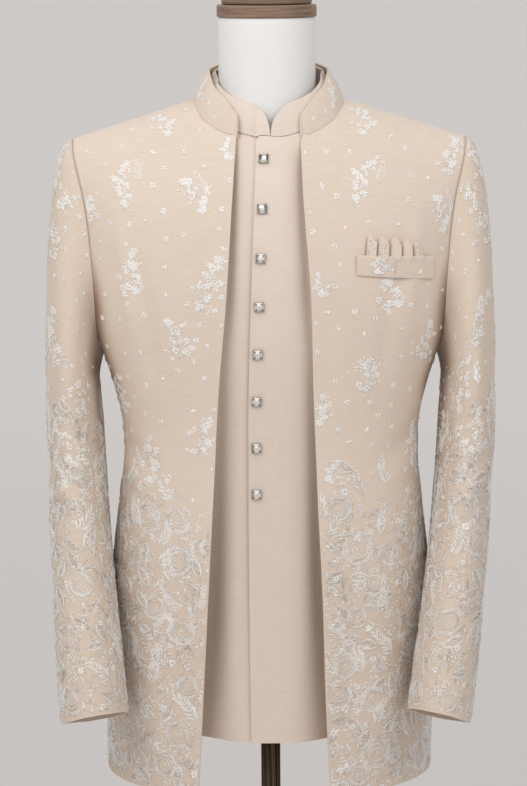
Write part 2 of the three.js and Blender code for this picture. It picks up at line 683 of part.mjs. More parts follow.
for (let i = 0; i < BUTTON_COUNT; i += 1) {
  const height = TOP_BUTTON_HEIGHT - BUTTON_SPACING * i;
  const x = readTable(placketEdge, height).x + BUTTON_FROM_EDGE + leanAt(height);
  const seat = panelPoint(upperPanel, x, height);
  const around = (across, up) => panelPoint(
    upperPanel, x + across * BUTTON_HALF, height + up * BUTTON_HALF);
  const beside = around(1, 0).sub(around(-1, 0)).normalize();
  const above = around(0, 1).sub(around(0, -1)).normalize();
  const outward = beside.clone().cross(above).normalize();
  const corners = [around(-1, -1), around(-1, 1), around(1, -1), around(1, 1), seat];
  const swell = Math.max(...corners.map((corner) => corner.clone().sub(seat).dot(outward)));
  const stone = new THREE.LatheGeometry(stoneProfile, 4, Math.PI / 4);
  const button = addPiece(garment, `button_${i + 1}`, stone, crystal);
  button.quaternion.setFromRotationMatrix(
    new THREE.Matrix4().makeBasis(beside, outward, beside.clone().cross(outward)));
  button.position.copy(seat).addScaledVector(outward, swell + SEAM_GAP);
}

// ---------- Dress form: torso with its neck, two-step cap, pole and foot ----------
// The torso keeps clear of the cloth, most over the chest; beside the neck it is
// drawn in further, and its upper arms are cut off flat.
const TORSO_CLEARANCE = 0.8;
const CHEST_CLEARANCE = 3;
const NECK_CLEARANCE = 5;
const COLLARBONE_HOLLOW = 0.4;
const FLANK_CLEARANCE = 12;
const TORSO_SIDE_STEPS = 6;
function torsoInset(height) {
  const loose = THREE.MathUtils.smoothstep(1446 - height, 40, 150);
  return underInset(height) + INNER_WALL + TORSO_CLEARANCE + CHEST_CLEARANCE * loose;
}

function torsoRing(height, shrink = 1) {
  const inset = torsoInset(height);
  const slope = (SIDE_NECK.height - SHOULDER_TIP.height) / (SHOULDER_TIP.x - SIDE_NECK.x);
  const ridgeX = SIDE_NECK.x + (SIDE_NECK.height - inset - height) / slope;
  const reach = Math.min(readTable(bodySections, height).halfWidth - inset - 2, ARM_PLATE_X, ridgeX) * shrink;
  const steps = Array.from({ length: 2 * TORSO_SIDE_STEPS + 1 }, (_, i) => i / TORSO_SIDE_STEPS - 1);
  const half = (face, sign) => steps.map((step) => {
    const x = sign * reach * Math.sin((step * Math.PI) / 2);
    const besideNeck = NECK_CLEARANCE * (1 - THREE.MathUtils.smoothstep(Math.abs(x), 70, 125));
    const point = facePoint(face, x, height, inset + besideNeck);
    const hollow = COLLARBONE_HOLLOW * (1 - THREE.MathUtils.smoothstep(Math.abs(x), 100, 150));
    point.y *= shrink * (1 - hollow * THREE.MathUtils.smoothstep(height, 1385, 1415));
    if (face === 'front') point.y += setback(x, height, FLANK_CLEARANCE);
    return point;
  });
  const [front, rear] = [half('front', 1), half('back', -1)];
  front[0].y = Math.min(front[0].y, -1);
  front.at(-1).y = Math.min(front.at(-1).y, -1);
  rear[0].y = Math.max(rear[0].y, 1);
  rear.at(-1).y = Math.max(rear.at(-1).y, 1);
  return [...front, ...rear];
}

function neckRing(height, radius) {
  const count = 2 * (2 * TORSO_SIDE_STEPS + 1);
  return Array.from({ length: count }, (_, i) => {
    const angle = ((i + 0.5) / count) * 2 * Math.PI;
    return new THREE.Vector3(
      NECK_CENTRE.x - radius * Math.cos(angle), NECK_CENTRE.y - radius * Math.sin(angle), height);
  });
}

const torsoHeights = [
  782, 893, 950, 1000, 1050, 1090, 1125, 1160, 1200,
  1240, 1280, 1311, 1340, 1362, 1380, 1394, 1406, 1418,
];
const torsoRings = [
  torsoRing(TORSO_BOTTOM_HEIGHT, 0.96),
  ...torsoHeights.map((height) => torsoRing(height)),
  neckRing(1431, NECK_RADIUS + 1.5),
  neckRing(1449, NECK_RADIUS),
  neckRing(NECK_TOP_HEIGHT, NECK_RADIUS),
];
addPiece(dressForm, 'form_torso', stackGeometry(torsoRings), formCover);

function disc(name, radius, bottom, top, round) {
  const mesh = addPiece(dressForm, name, turned([
    [0, bottom], [radius - round, bottom], [radius, bottom + round],
    [radius, top - round], [radius - round, top], [0, top],
  ], 28), walnut);
  mesh.position.set(NECK_CENTRE.x, NECK_CENTRE.y, 0);
}
const CAP_STEP_HEIGHT = 1551;
const CAP_TOP_HEIGHT = 1561;
disc('neck_cap_lower', NECK_RADIUS + 1.5, NECK_TOP_HEIGHT + SEAM_GAP, CAP_STEP_HEIGHT, 2);
disc('neck_cap_upper', NECK_RADIUS - 3.5, CAP_STEP_HEIGHT + SEAM_GAP, CAP_TOP_HEIGHT, 3);

// The pole stands in a socket on the foot's middle.
const footTop = FOOT_THICKNESS;
const socket = { radius: POLE_RADIUS + 8, height: 30, shoulder: 8 };
addPiece(dressForm, 'pole', turned([
  [0, footTop + SEAM_GAP], [socket.radius, footTop + SEAM_GAP],
  [socket.radius, footTop + socket.height], [POLE_RADIUS, footTop + socket.height + socket.shoulder],
  [POLE_RADIUS, TORSO_BOTTOM_HEIGHT - SEAM_GAP], [0, TORSO_BOTTOM_HEIGHT - SEAM_GAP],
], 20), bronze);
const rim = { height: 6, slope: 10 };
addPiece(dressForm, 'foot', turned([
  [0, 0], [FOOT_RADIUS, 0], [FOOT_RADIUS, rim.height], [FOOT_RADIUS - rim.slope, footTop], [0, footTop],
], 40), bronze);

const bandhgala = new THREE.Group();
bandhgala.add(garment, dressForm);
export default bandhgala;
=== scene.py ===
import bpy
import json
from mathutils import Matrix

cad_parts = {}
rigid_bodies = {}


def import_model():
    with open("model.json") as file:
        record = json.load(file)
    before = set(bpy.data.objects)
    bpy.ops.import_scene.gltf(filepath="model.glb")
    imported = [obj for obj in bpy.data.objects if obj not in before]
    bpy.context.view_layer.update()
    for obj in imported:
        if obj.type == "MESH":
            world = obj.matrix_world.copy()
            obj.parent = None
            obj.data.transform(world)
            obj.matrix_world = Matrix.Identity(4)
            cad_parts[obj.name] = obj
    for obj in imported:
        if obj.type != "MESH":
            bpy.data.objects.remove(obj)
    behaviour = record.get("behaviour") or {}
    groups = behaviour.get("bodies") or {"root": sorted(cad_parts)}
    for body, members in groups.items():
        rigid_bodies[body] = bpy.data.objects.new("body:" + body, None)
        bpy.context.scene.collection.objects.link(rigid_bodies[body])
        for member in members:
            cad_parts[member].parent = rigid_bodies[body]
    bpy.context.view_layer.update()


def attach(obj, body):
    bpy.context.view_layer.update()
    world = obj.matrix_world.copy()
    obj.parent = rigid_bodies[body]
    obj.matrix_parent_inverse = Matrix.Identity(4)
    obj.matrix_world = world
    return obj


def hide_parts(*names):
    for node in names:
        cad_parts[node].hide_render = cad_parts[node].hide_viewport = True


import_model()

import json
import math
import bpy
import numpy as np
from mathutils import Matrix, Vector

# ---------- Studio ----------
# A long lens a little above the shoulders looks down on the dress form, which stands
# on a wide pale floor between two big soft lamps and an even pale surround.
scene = bpy.context.scene
scene.view_settings.view_transform = "Standard"
camera = bpy.data.objects.new("camera", bpy.data.cameras.new("camera"))
camera.data.lens = 113.6
camera.data.sensor_width = 36.0
camera.matrix_world = (
    Matrix.Translation((-0.0056, -2.793, 1.6186))
    @ Matrix.Rotation(math.radians(79.7), 4, "X")
    @ Matrix.Rotation(math.radians(-0.4), 4, "Z")
)
scene.collection.objects.link(camera)
scene.camera = camera


def lamp(name, place, target, size, watts, color):
    """A square soft lamp standing at a place and turned to face a target."""
    light = bpy.data.lights.new(name, "AREA")
    light.shape, light.size, light.energy, light.color = "SQUARE", size, watts, color
    holder = bpy.data.objects.new(name, light)
    holder.location = place
    holder.rotation_euler = (Vector(target) - Vector(place)).to_track_quat("-Z", "Y").to_euler()
    scene.collection.objects.link(holder)


CHEST, LAMP_COLOR = (0, 0, 1.3), (1.0, 0.99, 0.98)
lamp("key_lamp", (-0.95, -1.6, 2.7), CHEST, size=1.1, watts=15.2, color=LAMP_COLOR)
lamp("fill_lamp", (1.2, -1.7, 2.6), CHEST, size=1.1, watts=8.4, color=LAMP_COLOR)


def add(tree, kind, values=(), operation=None):
    """A new shader node with these values on its sockets; each mix is set to blend colours."""
    node = tree.nodes.new("ShaderNode" + kind)
    if operation:
        node.operation = operation
    if kind == "Mix":
        node.data_type = "RGBA"
    for socket, value in dict(values).items():
        node.inputs[socket].default_value = value
    return node


def ramp_of(tree, *stops):
    """A ramp through these colours, each at its place from 0 to 1."""
    ramp = add(tree, "ValToRGB")
    elements = ramp.color_ramp.elements
    for element, (place, color) in zip(elements, (stops[0], stops[-1])):
        element.position, element.color = place, (*color, 1)
    for place, color in stops[1:-1]:
        elements.new(place).color = (*color, 1)
    return ramp


def wire(tree, *pairs):
    """Joins an output to an input, pair by pair."""
    for source, target in pairs:
        tree.links.new(source, target)


# The surround is brightest ahead and overhead, and dims towards both sides.
world = bpy.data.worlds.new("surround")
world.use_nodes = True
tree, surround = world.node_tree, world.node_tree.nodes["Background"]
surround.inputs["Color"].default_value = (1.0, 0.99, 0.985, 1)
where, apart, spread = add(tree, "TexCoord"), add(tree, "SeparateXYZ"), add(tree, "MapRange", {"From Min": -1.0})
glow = ramp_of(tree, (0.0, [0.50] * 3), (0.48, [0.90] * 3), (1.0, [0.40] * 3))
wire(
    tree, (where.outputs["Generated"], apart.inputs[0]), (apart.outputs["X"], spread.inputs["Value"]),
    (spread.outputs[0], glow.inputs["Fac"]), (glow.outputs["Color"], surround.inputs["Strength"]))
scene.world = world


def finish(name, **sockets):
    """A new surface finish with these values on its shader's sockets."""
    made = bpy.data.materials.new(name)
    made.use_nodes = True
    shader = made.node_tree.nodes["Principled BSDF"]
    for socket, value in sockets.items():
        shader.inputs[socket.replace("_", " ")].default_value = value
    return made, made.node_tree, shader


def mesh_piece(name, points, faces, material, uv=None, **shades):
    """A piece from points in millimetres and a list of arrays of faces with equal corner counts. A
    shade is a number at each point, which the finish reads by its name."""
    mesh = bpy.data.meshes.new(name)
    corners = np.concatenate([f.ravel() for f in faces]).astype(np.int32)
    totals = np.concatenate([np.full(len(f), f.shape[1]) for f in faces]).astype(np.int32)
    mesh.vertices.add(len(points))
    mesh.vertices.foreach_set("co", (np.asarray(points, float) / 1000).ravel())
    mesh.loops.add(len(corners))
    mesh.loops.foreach_set("vertex_index", corners)
    mesh.polygons.add(len(totals))
    mesh.polygons.foreach_set("loop_start", np.r_[0, np.cumsum(totals)[:-1]].astype(np.int32))
    mesh.polygons.foreach_set("loop_total", totals)
    mesh.update(calc_edges=True)
    mesh.shade_smooth()
    if "tone" not in shades:
        mesh.set_sharp_from_angle(angle=math.radians(48))
    if uv is not None:
        layer = mesh.uv_layers.new(name="cloth")
        layer.data.foreach_set("uv", (uv[corners] / 1000).ravel())
    for shade, values in shades.items():
        mesh.attributes.new(shade, "FLOAT", "POINT").data.foreach_set("value", values.astype(np.float32))
    mesh.materials.append(material)
    piece = bpy.data.objects.new(name, mesh)
    scene.collection.objects.link(piece)
    return piece


# The floor is a pale backdrop cloth with painted shade: a shade darker near the form, paler with the distance.
FLOOR_HALF = 600000.0
floor_finish, tree, shader = finish("studio_floor", Roughness=0.9)
where, apart = add(tree, "TexCoord"), add(tree, "SeparateXYZ")
away = add(tree, "MapRange", {"From Min": 0.5, "From Max": 6.0})
floor_painted_shade = add(tree, "Mix", {6: (0.70, 0.67, 0.65, 1), 7: (0.855, 0.82, 0.80, 1)})
wire(
    tree, (where.outputs["Object"], apart.inputs[0]), (apart.outputs["Y"], away.inputs["Value"]),
    (away.outputs[0], floor_painted_shade.inputs["Factor"]), (floor_painted_shade.outputs[2], shader.inputs["Base Color"]))
corner = np.array([[-1, -1, 0], [1, -1, 0], [1, 1, 0], [-1, 1, 0]]) * FLOOR_HALF
mesh_piece("floor", corner, [np.array([[0, 1, 2, 3]])], floor_finish)

# ---------- Jacket fronts ----------
# Two panels of slubby silk-like cloth, sewn in at the shoulder, side and armhole and open
# down the middle. Both are cut to one body form; the hem corners are rounded off.
GAP = 0.3
JACKET_WALL = 1.8
HEM, UNDERARM, SHOULDER, SIDE_NECK = 672, 1160, 1403, 84
# The shoulder ridge at the side neck and its fall with each millimetre outwards, the rise of the
# back neckline, the armhole's reach at the shoulder, and the steps of the yoke's table.
RIDGE, SLOPE, BACK_NECK, SHOULDER_REACH, YOKE_STEPS = 1446, 0.3162, 10, 220, 14
# How far below the ridge the body reaches its full depth, and how high the back's ridge arches.
SHOULDER_DROP, BACK_ARCH = {"front": 215, "back": 200}, 19


def reader(columns, rows):
    """One smooth curve for each named column of a table: between two rows it is the cubic whose
    slope at a row is that of the line joining the rows before and after it."""
    table = np.array(sorted(rows), float)
    key, last = table[:, 0], len(table) - 1
    after = np.minimum(np.arange(last + 1) + 1, last)
    before = np.maximum(np.arange(last + 1) - 1, 0)
    slope = (table[after] - table[before]) / (key[after] - key[before])[:, None]

    def read(name, at):
        """The value of one column where the first column has this value."""
        at = np.clip(at, key[0], key[-1])
        i = np.clip(np.searchsorted(key, at, side="right") - 1, 0, last - 1)
        c, span = columns.index(name), key[i + 1] - key[i]
        t = (at - key[i]) / span
        return (
            (2 * t**3 - 3 * t**2 + 1) * table[i, c] + (t**3 - 2 * t**2 + t) * span * slope[i, c]
            + (3 * t**2 - 2 * t**3) * table[i + 1, c] + (t**3 - t**2) * span * slope[i + 1, c]
        )

    return read


body = reader(["height", "half_width", "front", "back", "power"], [
    (672, 189.0, 136, 130, 2.05), (760, 188.5, 133, 127, 2.12), (893, 183.5, 126, 119, 2.28),
    (950, 177.0, 122, 111, 2.38), (1000, 171.0, 119, 105, 2.45), (1050, 167.5, 118, 101, 2.5),
    (1090, 170.0, 119, 101, 2.5), (1125, 178.0, 121, 104, 2.5), (1160, 189.0, 123, 108, 2.5),
    (1200, 203.0, 125, 111, 2.5), (1240, 210.0, 126, 113, 2.5), (1311, 224.0, 126, 114, 2.5),
    (1403, 254.0, 125, 112, 2.5), (1500, 280.0, 125, 110, 2.5),
])
armhole = reader(["height", "x"], [
    (1160, 189.0), (1176, 192.6), (1196, 194.4), (1250, 196.4), (1282, 198.6),
    (1313, 201.6), (1342, 206.2), (1367, 212.6), (1387, 217.6), (1403, 220.0),
])
front_edge = reader(["height", "right", "left"], [
    (672, 80.5, 68.5), (787, 75.0, 62.3), (901, 69.6, 58.0), (1014, 64.0, 51.7),
    (1126, 57.8, 47.2), (1236, 48.0, 44.6), (1344, 40.7, 37.0), (1409, 36.0, 34.5),
])
yoke = reader(["step", "edge", "neck", "inner_edge", "inner_neck"], [
    (0, 1160, 36, 1160, -14), (1, 1187, 36, 1187, -14), (2, 1218, 36, 1218, -14), (3, 1249, 36, 1249, -14),
    (4, 1281, 36, 1281, -14), (5, 1313, 36, 1313, -14), (6, 1345, 36, 1345, -14), (7, 1377, 36, 1377, -14),
    (8, 1409, 36, 1410.5, -14), (9, 1412.5, 45, 1411.5, 14), (10, 1418.5, 59, 1417.5, 38),
    (11, 1427, 72, 1426, 58), (12, 1436, 79, 1435.5, 71), (13, 1443, 83, 1443, 77), (14, 1446, 84, 1446, 78),
])


def smoothstep(at, low, high):
    """A soft step from 0 at low to 1 at high: three times the square less twice the cube."""
    t = np.clip((at - low) / (high - low), 0, 1)
    return t * t * (3 - 2 * t)


def unit(v):
    """Each direction at the length of 1."""
    return v / np.maximum(np.linalg.norm(v, axis=-1, keepdims=True), 1e-9)


def run_of(line):
    """The way along a line from its first point to each of its points."""
    return np.r_[0, np.cumsum(np.linalg.norm(np.diff(line, axis=0), axis=1))]


def rows_of(first, second):
    """A column of places from 0 to 1 and on to 2, each part with its own count."""
    return np.r_[np.linspace(0, 1, first)[:-1], np.linspace(1, 2, second)][:, None]


def up_armhole(share):
    """The height at a share of the way up the armhole, by half a wave of the cosine."""
    return (SHOULDER + UNDERARM) / 2 - (SHOULDER - UNDERARM) / 2 * np.cos(math.pi * share)


def lean(h):
    """How far the garment's middle hangs beside the pole: from 1.5 mm to the wearer's right at the
    hem to 2.4 mm to the left from the waist up."""
    return -1.5 + 3.9 * np.clip((h - 690) / 360, 0, 1)


def on_form(face, x, h, inset=0.0):
    """A point of the body form. The plan is a rounded oval, (x/width)^power + (y/depth)^power = 1, drawn
    in to nothing under the shoulder ridge by a quarter circle; inset lies that far inside it."""
    ridge = RIDGE + SLOPE * (SIDE_NECK - np.abs(x))
    if face == "back":
        ridge = ridge + BACK_ARCH * np.sqrt(np.clip(1 - (x / SIDE_NECK) ** 2, 0, None))
    across = np.minimum(np.abs(x) / (body("half_width", h) - inset), 1)
    drop = np.clip((ridge - inset - h) / SHOULDER_DROP[face], 0, 1)
    power = body("power", h)
    depth = (body(face, h) - inset) * (1 - across**power) ** (1 / power) * np.sqrt(1 - (1 - drop) ** 2)
    return np.stack([x + lean(h), -depth if face == "front" else depth, h + 0 * x], -1)


turn = np.linspace(0, math.pi / 2, 400)
oval = np.stack([np.sin(turn) ** 0.8, 0.67 * np.cos(turn) ** 0.8], -1)
oval_run = run_of(oval)


def across_at(s, h):
    """The sideways place of a point that lies s along the cloth from the middle, at a height."""
    width = body("half_width", h)
    return np.sign(s) * width * np.interp(np.abs(s) / width, oval_run, oval[:, 0])


def along_at(x, h):
    """The way along the cloth from the middle to a sideways place, at a height."""
    width = body("half_width", h)
    return np.sign(x) * width * np.interp(np.abs(x) / width, oval[:, 0], oval_run)


def folds(table, p, q):
    """Soft troughs and ridges laid one by one. Each runs from (p, q) to (p, q), has a bell-shaped
    section of a half width and a height, and fades out towards both of its ends."""
    lift = np.zeros(np.broadcast(p, q).shape)
    for p0, q0, p1, q1, half_width, height in table:
        length = math.hypot(p1 - p0, q1 - q0)
        u, v = (p1 - p0) / length, (q1 - q0) / length
        t = ((p - p0) * u + (q - q0) * v) / length
        off = ((q - q0) * u - (p - p0) * v) / half_width
        lift += height * np.exp(-(off**2)) * smoothstep(t, -0.1, 0.3) * (1 - smoothstep(t, 0.7, 1.1))
    return lift


front_folds = {
    -1: [
        (150, 1290, 128, 1130, 13, -2.4), (172, 1330, 160, 1190, 10, 1.6), (200, 1080, 120, 1030, 12, -1.5),
        (205, 1050, 140, 1010, 10, 1.2), (185, 985, 178, 690, 22, -3.0), (135, 930, 140, 672, 20, 2.4),
        (95, 1000, 98, 690, 18, -1.6), (60, 1330, 74, 1180, 14, -1.0), (100, 1420, 160, 1340, 14, -0.9),
        (215, 1040, 225, 900, 12, 1.6),
    ],
    1: [
        (146, 1300, 122, 1140, 13, -2.0), (170, 1340, 158, 1200, 11, 1.6), (204, 1090, 118, 1046, 12, -1.8),
        (208, 1058, 132, 1022, 10, 1.3), (182, 990, 176, 700, 22, -2.6), (128, 950, 138, 680, 22, 2.6),
        (88, 1010, 92, 700, 18, -1.8), (56, 1250, 66, 1100, 14, -1.1), (104, 1416, 158, 1346, 14, -0.8),
        (214, 1030, 224, 890, 12, 1.5),
    ],
}


def face_lift(face, side, s, h):
    """The height of a panel's folds; they fade out under the shoulder seam."""
    table = front_folds[side] if face == "front" else back_folds
    where = np.abs(s) if face == "front" else s
    return folds(table, where, h) * (1 - smoothstep(h, 1300, 1400))


def on_face(face, side, s, h, lift=0.0):
    """A point of the jacket's front or back, s along the cloth and h high, lifted off its folds."""
    at = lambda s, h: on_form(face, across_at(s, h), h)
    along = at(s + 0.5, h) - at(s - 0.5, h)
    rise = at(s, h) - at(s, h - 1)
    out = unit(np.cross(along, rise)) * (1 if face == "front" else -1)
    return at(s, h) + out * (face_lift(face, side, s, h) + lift)[..., None]


def panel_places(side, columns, skirt, upper, hem, edge_at, neck, inset_at, neck_rise=0):
    """Sideways places and heights over a front panel. Each row runs from the free edge or the
    neckline to the side seam or the armhole, with its columns evenly turned about the oval."""
    r = rows_of(skirt, upper)
    share = np.clip(r - 1, 0, 1)
    step = share * YOKE_STEPS
    edge_h = np.where(r < 1, hem + (UNDERARM - hem) * r, yoke(neck[0], step))
    arm_h = np.where(r < 1, edge_h, up_armhole(share))
    edge_x = np.where(step < 8, edge_at(edge_h), yoke(neck[1], step))
    edge_h = edge_h + neck_rise * smoothstep(step, 7, 8) * (1 - smoothstep(edge_x, 38, 71))
    inset = inset_at(arm_h)
    arm_x = np.where(r < 1, body("half_width", edge_h), armhole("x", arm_h)) - inset
    width, power = body("half_width", arm_h) - inset, body("power", arm_h)
    angle = lambda x: np.sign(x) * np.arcsin(np.minimum(np.abs(x) / width, 1) ** (power / 2))
    spread = angle(edge_x) + (angle(arm_x) - angle(edge_x)) * np.linspace(0, 1, columns)
    x = np.sign(spread) * width * np.abs(np.sin(spread)) ** (2 / power)
    h = edge_h + (arm_h - edge_h) * (x - edge_x) / (arm_x - edge_x)
    h = h - inset_at(h) * share
    return (side * x, h) if side > 0 else (side * x[:, ::-1], h[:, ::-1])


def grid_out(grid):
    """The outward direction at each point of a grid that runs rightwards and upwards from outside."""
    return unit(np.cross(np.gradient(grid, axis=1), np.gradient(grid, axis=0)))


def quads(number):
    """The faces of a grid of point numbers, one for each cell."""
    return np.stack([number[:-1, :-1], number[:-1, 1:], number[1:, 1:], number[1:, :-1]], -1).reshape(-1, 4)


def shell(name, outer, wall, material, threads=None, deep=0.0):
    """One closed sheet of cloth: an outer grid, the same grid moved in by the wall, and a rim round
    the edge. Its UV runs along the threads, in metres: along the grid, unless threads are given.
    Deep is the painted shade at each point, from 0 to 1, which darkens the cloth where creases and shadows fall."""
    rows, columns = outer.shape[:2]
    inner = outer - grid_out(outer) * wall
    number = np.arange(rows * columns).reshape(rows, columns)
    far = number + rows * columns
    strip = lambda a, b: np.stack([a[:-1], b[:-1], b[1:], a[1:]], -1)
    faces = [
        quads(number), quads(far)[:, ::-1], strip(number[0], far[0]), strip(far[-1], number[-1]),
        strip(far[:, 0], number[:, 0]), strip(number[:, -1], far[:, -1])]
    run = np.linalg.norm(np.diff(outer, axis=1), axis=-1).mean(0)
    rise = np.linalg.norm(np.diff(outer, axis=0), axis=-1).mean(1)
    across, up = threads or np.meshgrid(np.r_[0, np.cumsum(run)], np.r_[0, np.cumsum(rise)])
    uv = np.tile(np.stack([across.ravel(), up.ravel()], -1), (2, 1))
    points = np.concatenate([outer.reshape(-1, 3), inner.reshape(-1, 3)])
    deep = np.tile(np.broadcast_to(deep, (rows, columns)).ravel(), 2)
    return mesh_piece(name, points, faces, material, uv, deep=deep)


def drawn_noise(tree, places, stretch, detail=2.0):
    """A noise drawn out along each axis of the places it is read at."""
    scaled = add(tree, "VectorMath", {1: stretch}, "MULTIPLY")
    noise = add(tree, "TexNoise", {"Scale": 1.0, "Detail": detail})
    wire(tree, (places, scaled.inputs[0]), (scaled.outputs[0], noise.inputs["Vector"]))
    return noise.outputs["Fac"]


def relief(tree, shader, height, strength, distance):
    """Lets a height show as a fine relief of a surface, its full distance in metres."""
    bump = add(tree, "Bump", {"Strength": strength, "Distance": distance})
    wire(tree, (height, bump.inputs["Height"]), (bump.outputs["Normal"], shader.inputs["Normal"]))


def weave_group():
    """The woven ground: long thin slubs across the cloth, finer ones down it, and faint cloudy tone."""
    group = bpy.data.node_groups.new("woven ground", "ShaderNodeTree")
    for name, way, kind in (
        ("Along", "INPUT", "Vector"), ("Ground", "INPUT", "Color"), ("Slub", "INPUT", "Color"),
        ("Color", "OUTPUT", "Color"), ("Height", "OUTPUT", "Float"),
    ):
        group.interface.new_socket(name=name, in_out=way, socket_type="NodeSocket" + kind)
    enter, leave = group.nodes.new("NodeGroupInput"), group.nodes.new("NodeGroupOutput")
    slub, fine, cloud = (
        drawn_noise(group, enter.outputs["Along"], stretch)
        for stretch in ((38, 620, 1), (760, 60, 1), (9, 9, 1)))

    def total(*parts):
        """The sum of several noises, each times its share."""
        so_far = None
        for noise, share in parts:
            node = add(group, "Math", {1: share, 2: 0.0}, "MULTIPLY_ADD")
            wire(group, (noise, node.inputs[0]))
            if so_far is not None:
                wire(group, (so_far, node.inputs[2]))
            so_far = node.outputs[0]
        return so_far

    span, mix = add(group, "MapRange", {"From Min": 0.38, "From Max": 0.68}), add(group, "Mix")
    wire(
        group, (total((slub, 0.62), (fine, 0.22), (cloud, 0.22)), span.inputs["Value"]),
        (span.outputs[0], mix.inputs["Factor"]), (enter.outputs["Slub"], mix.inputs[6]),
        (enter.outputs["Ground"], mix.inputs[7]), (mix.outputs[2], leave.inputs["Color"]),
        (total((slub, 0.7), (fine, 0.3)), leave.inputs["Height"]))
    return group


woven = weave_group()


def cloth_finish(name, ground, slub, bump):
    """A matt silky cloth with a little sheen, woven in two close tones. Its deep number paints
    shade into it: the higher it is, the darker and browner the cloth, for shade in creases and shadows."""
    made, tree, shader = finish(
        name, Roughness=0.72, Sheen_Weight=0.18, Sheen_Roughness=0.45, Specular_IOR_Level=0.3)
    painted_shade_attribute, along, weave = add(tree, "Attribute"), add(tree, "UVMap"), add(tree, "Group")
    painted_shade_attribute.attribute_name, along.uv_map, weave.node_tree = "deep", "cloth", woven
    weave.inputs["Ground"].default_value, weave.inputs["Slub"].default_value = (*ground, 1), (*slub, 1)
    # Painted shade: the deep number draws the colour towards a dark brown.
    shaded = add(tree, "Mix", {7: (ground[0] * 0.32, ground[1] * 0.20, ground[2] * 0.12, 1)})
    wire(
        tree, (along.outputs["UV"], weave.inputs["Along"]), (weave.outputs["Color"], shaded.inputs[6]),
        (painted_shade_attribute.outputs["Fac"], shaded.inputs["Factor"]), (shaded.outputs[2], shader.inputs["Base Color"]))
    relief(tree, shader, weave.outputs["Height"], strength=bump, distance=0.0006)
    return made


def side_line(h):
    """How far out a panel's cloth reaches at a height: to the side seam, or above it the armhole."""
    return np.where(h > UNDERARM, armhole("x", h), body("half_width", h))


def armhole_shade(x, h):
    """Painted shade for the cloth's deep number: a dark hair line along the armhole seam from the
    shoulder down, from the chest a painted shadow beside the sleeve that widens towards the
    underarm, and a painted shadow along the side seam of the skirt, under the sleeve. Between the
    close stitches of the skirt the cloth gets a little painted shade too."""
    away = side_line(h) - np.abs(x)
    low = smoothstep(1305 - h, 0, 95) * (1 - smoothstep(1140 - h, 0, 50))
    seam = 0.4 * np.exp(-((away / 1.25) ** 2)) * smoothstep(h, 1100, 1140)
    side = 0.3 * smoothstep(1000 - h, 0, 90) * np.exp(-((away / 9) ** 2))
    # Painted shade in the ground between the skirt's close stitches.
    painted_shade_between_stitches = 0.12 * (1 - smoothstep(h, 890, 1030))
    beside = low * np.exp(-((away / (2.5 + 7 * low)) ** 2))
    return np.maximum(np.maximum(seam, side), beside) + painted_shade_between_stitches


def record(piece, slot, node, **cut):
    """Puts a piece on the root body and hides the solid that it replaces. The slot and the cut
    are not used."""
    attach(piece, "root")
    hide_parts(node)


jacket_cloth = cloth_finish("jacket_cloth", (0.805, 0.682, 0.575), (0.755, 0.632, 0.525), 0.2)
for name, side, column in (("jacket_front_right", -1, "right"), ("jacket_front_left", 1, "left")):
    edge_at = lambda h, column=column: front_edge(column, h)
    x, h = panel_places(
        side, columns=66, skirt=120, upper=76, hem=HEM, edge_at=edge_at, neck=("edge", "neck"),
        inset_at=lambda h: 0 * h)
    along = along_at(x, h)
    face = on_face("front", side, along, h)
    cloth = shell(name + "_cloth", face, JACKET_WALL, jacket_cloth, (along, h), armhole_shade(x, h))
    record(cloth, "jacket_cloth", name, flat=(0.29, 0.80), area=0.175, held="hung", rests_on=["form_torso"])

# ---------- Jacket back ----------
# One piece of the same cloth, sewn to the fronts at the shoulders and sides, with a short
# shaped neck. It falls from the shoulder blades in soft upright flutes.
back_folds = [
    (-70, 1010, -96, 690, 22, -3.2), (40, 1000, 52, 690, 24, -2.6), (130, 1000, 150, 690, 20, 2.4),
    (-150, 1010, -176, 700, 20, 2.6), (-10, 960, -16, 690, 20, 2.0), (-120, 1300, -150, 1150, 14, -2.2),
    (118, 1310, 150, 1150, 14, -2.0), (-190, 1070, -60, 1040, 11, -1.8), (186, 1066, 70, 1030, 11, -1.7),
    (-170, 1035, -50, 1018, 9, 1.2), (-60, 1370, 60, 1366, 12, -1.2), (160, 1090, 90, 1078, 9, 1.0),
]
column = np.linspace(-1, 1, 96)
r = rows_of(first=86, second=50)
share = np.clip(r - 1, 0, 1)
arm_h = np.where(r < 1, HEM + (UNDERARM - HEM) * r, up_armhole(share))
reach = np.where(r < 1, body("half_width", arm_h), armhole("x", arm_h))
width, power = body("half_width", arm_h), body("power", arm_h)
full = np.arcsin(np.minimum(reach / width, 1) ** (power / 2))
spread = np.sign(column) * width * np.sin(full * np.abs(column)) ** (2 / power)
x = -(spread * (1 - share**2) + column * reach * share**2)
level = x / reach * SHOULDER_REACH
top = RIDGE + np.where(
    np.abs(level) < SIDE_NECK, BACK_NECK * np.clip(1 - (level / SIDE_NECK) ** 2, 0, 1),
    SLOPE * (SIDE_NECK - np.abs(level)))
h = arm_h + (top - SHOULDER) * share**1.5
face = on_face("back", 0, along_at(x, h), h)
cloth = shell("jacket_back_cloth", face, JACKET_WALL, jacket_cloth, (x, h), armhole_shade(x, h))
record(cloth, "jacket_cloth", "jacket_back", flat=(0.50, 0.81), area=0.36, held="hung", rests_on=["form_torso"])

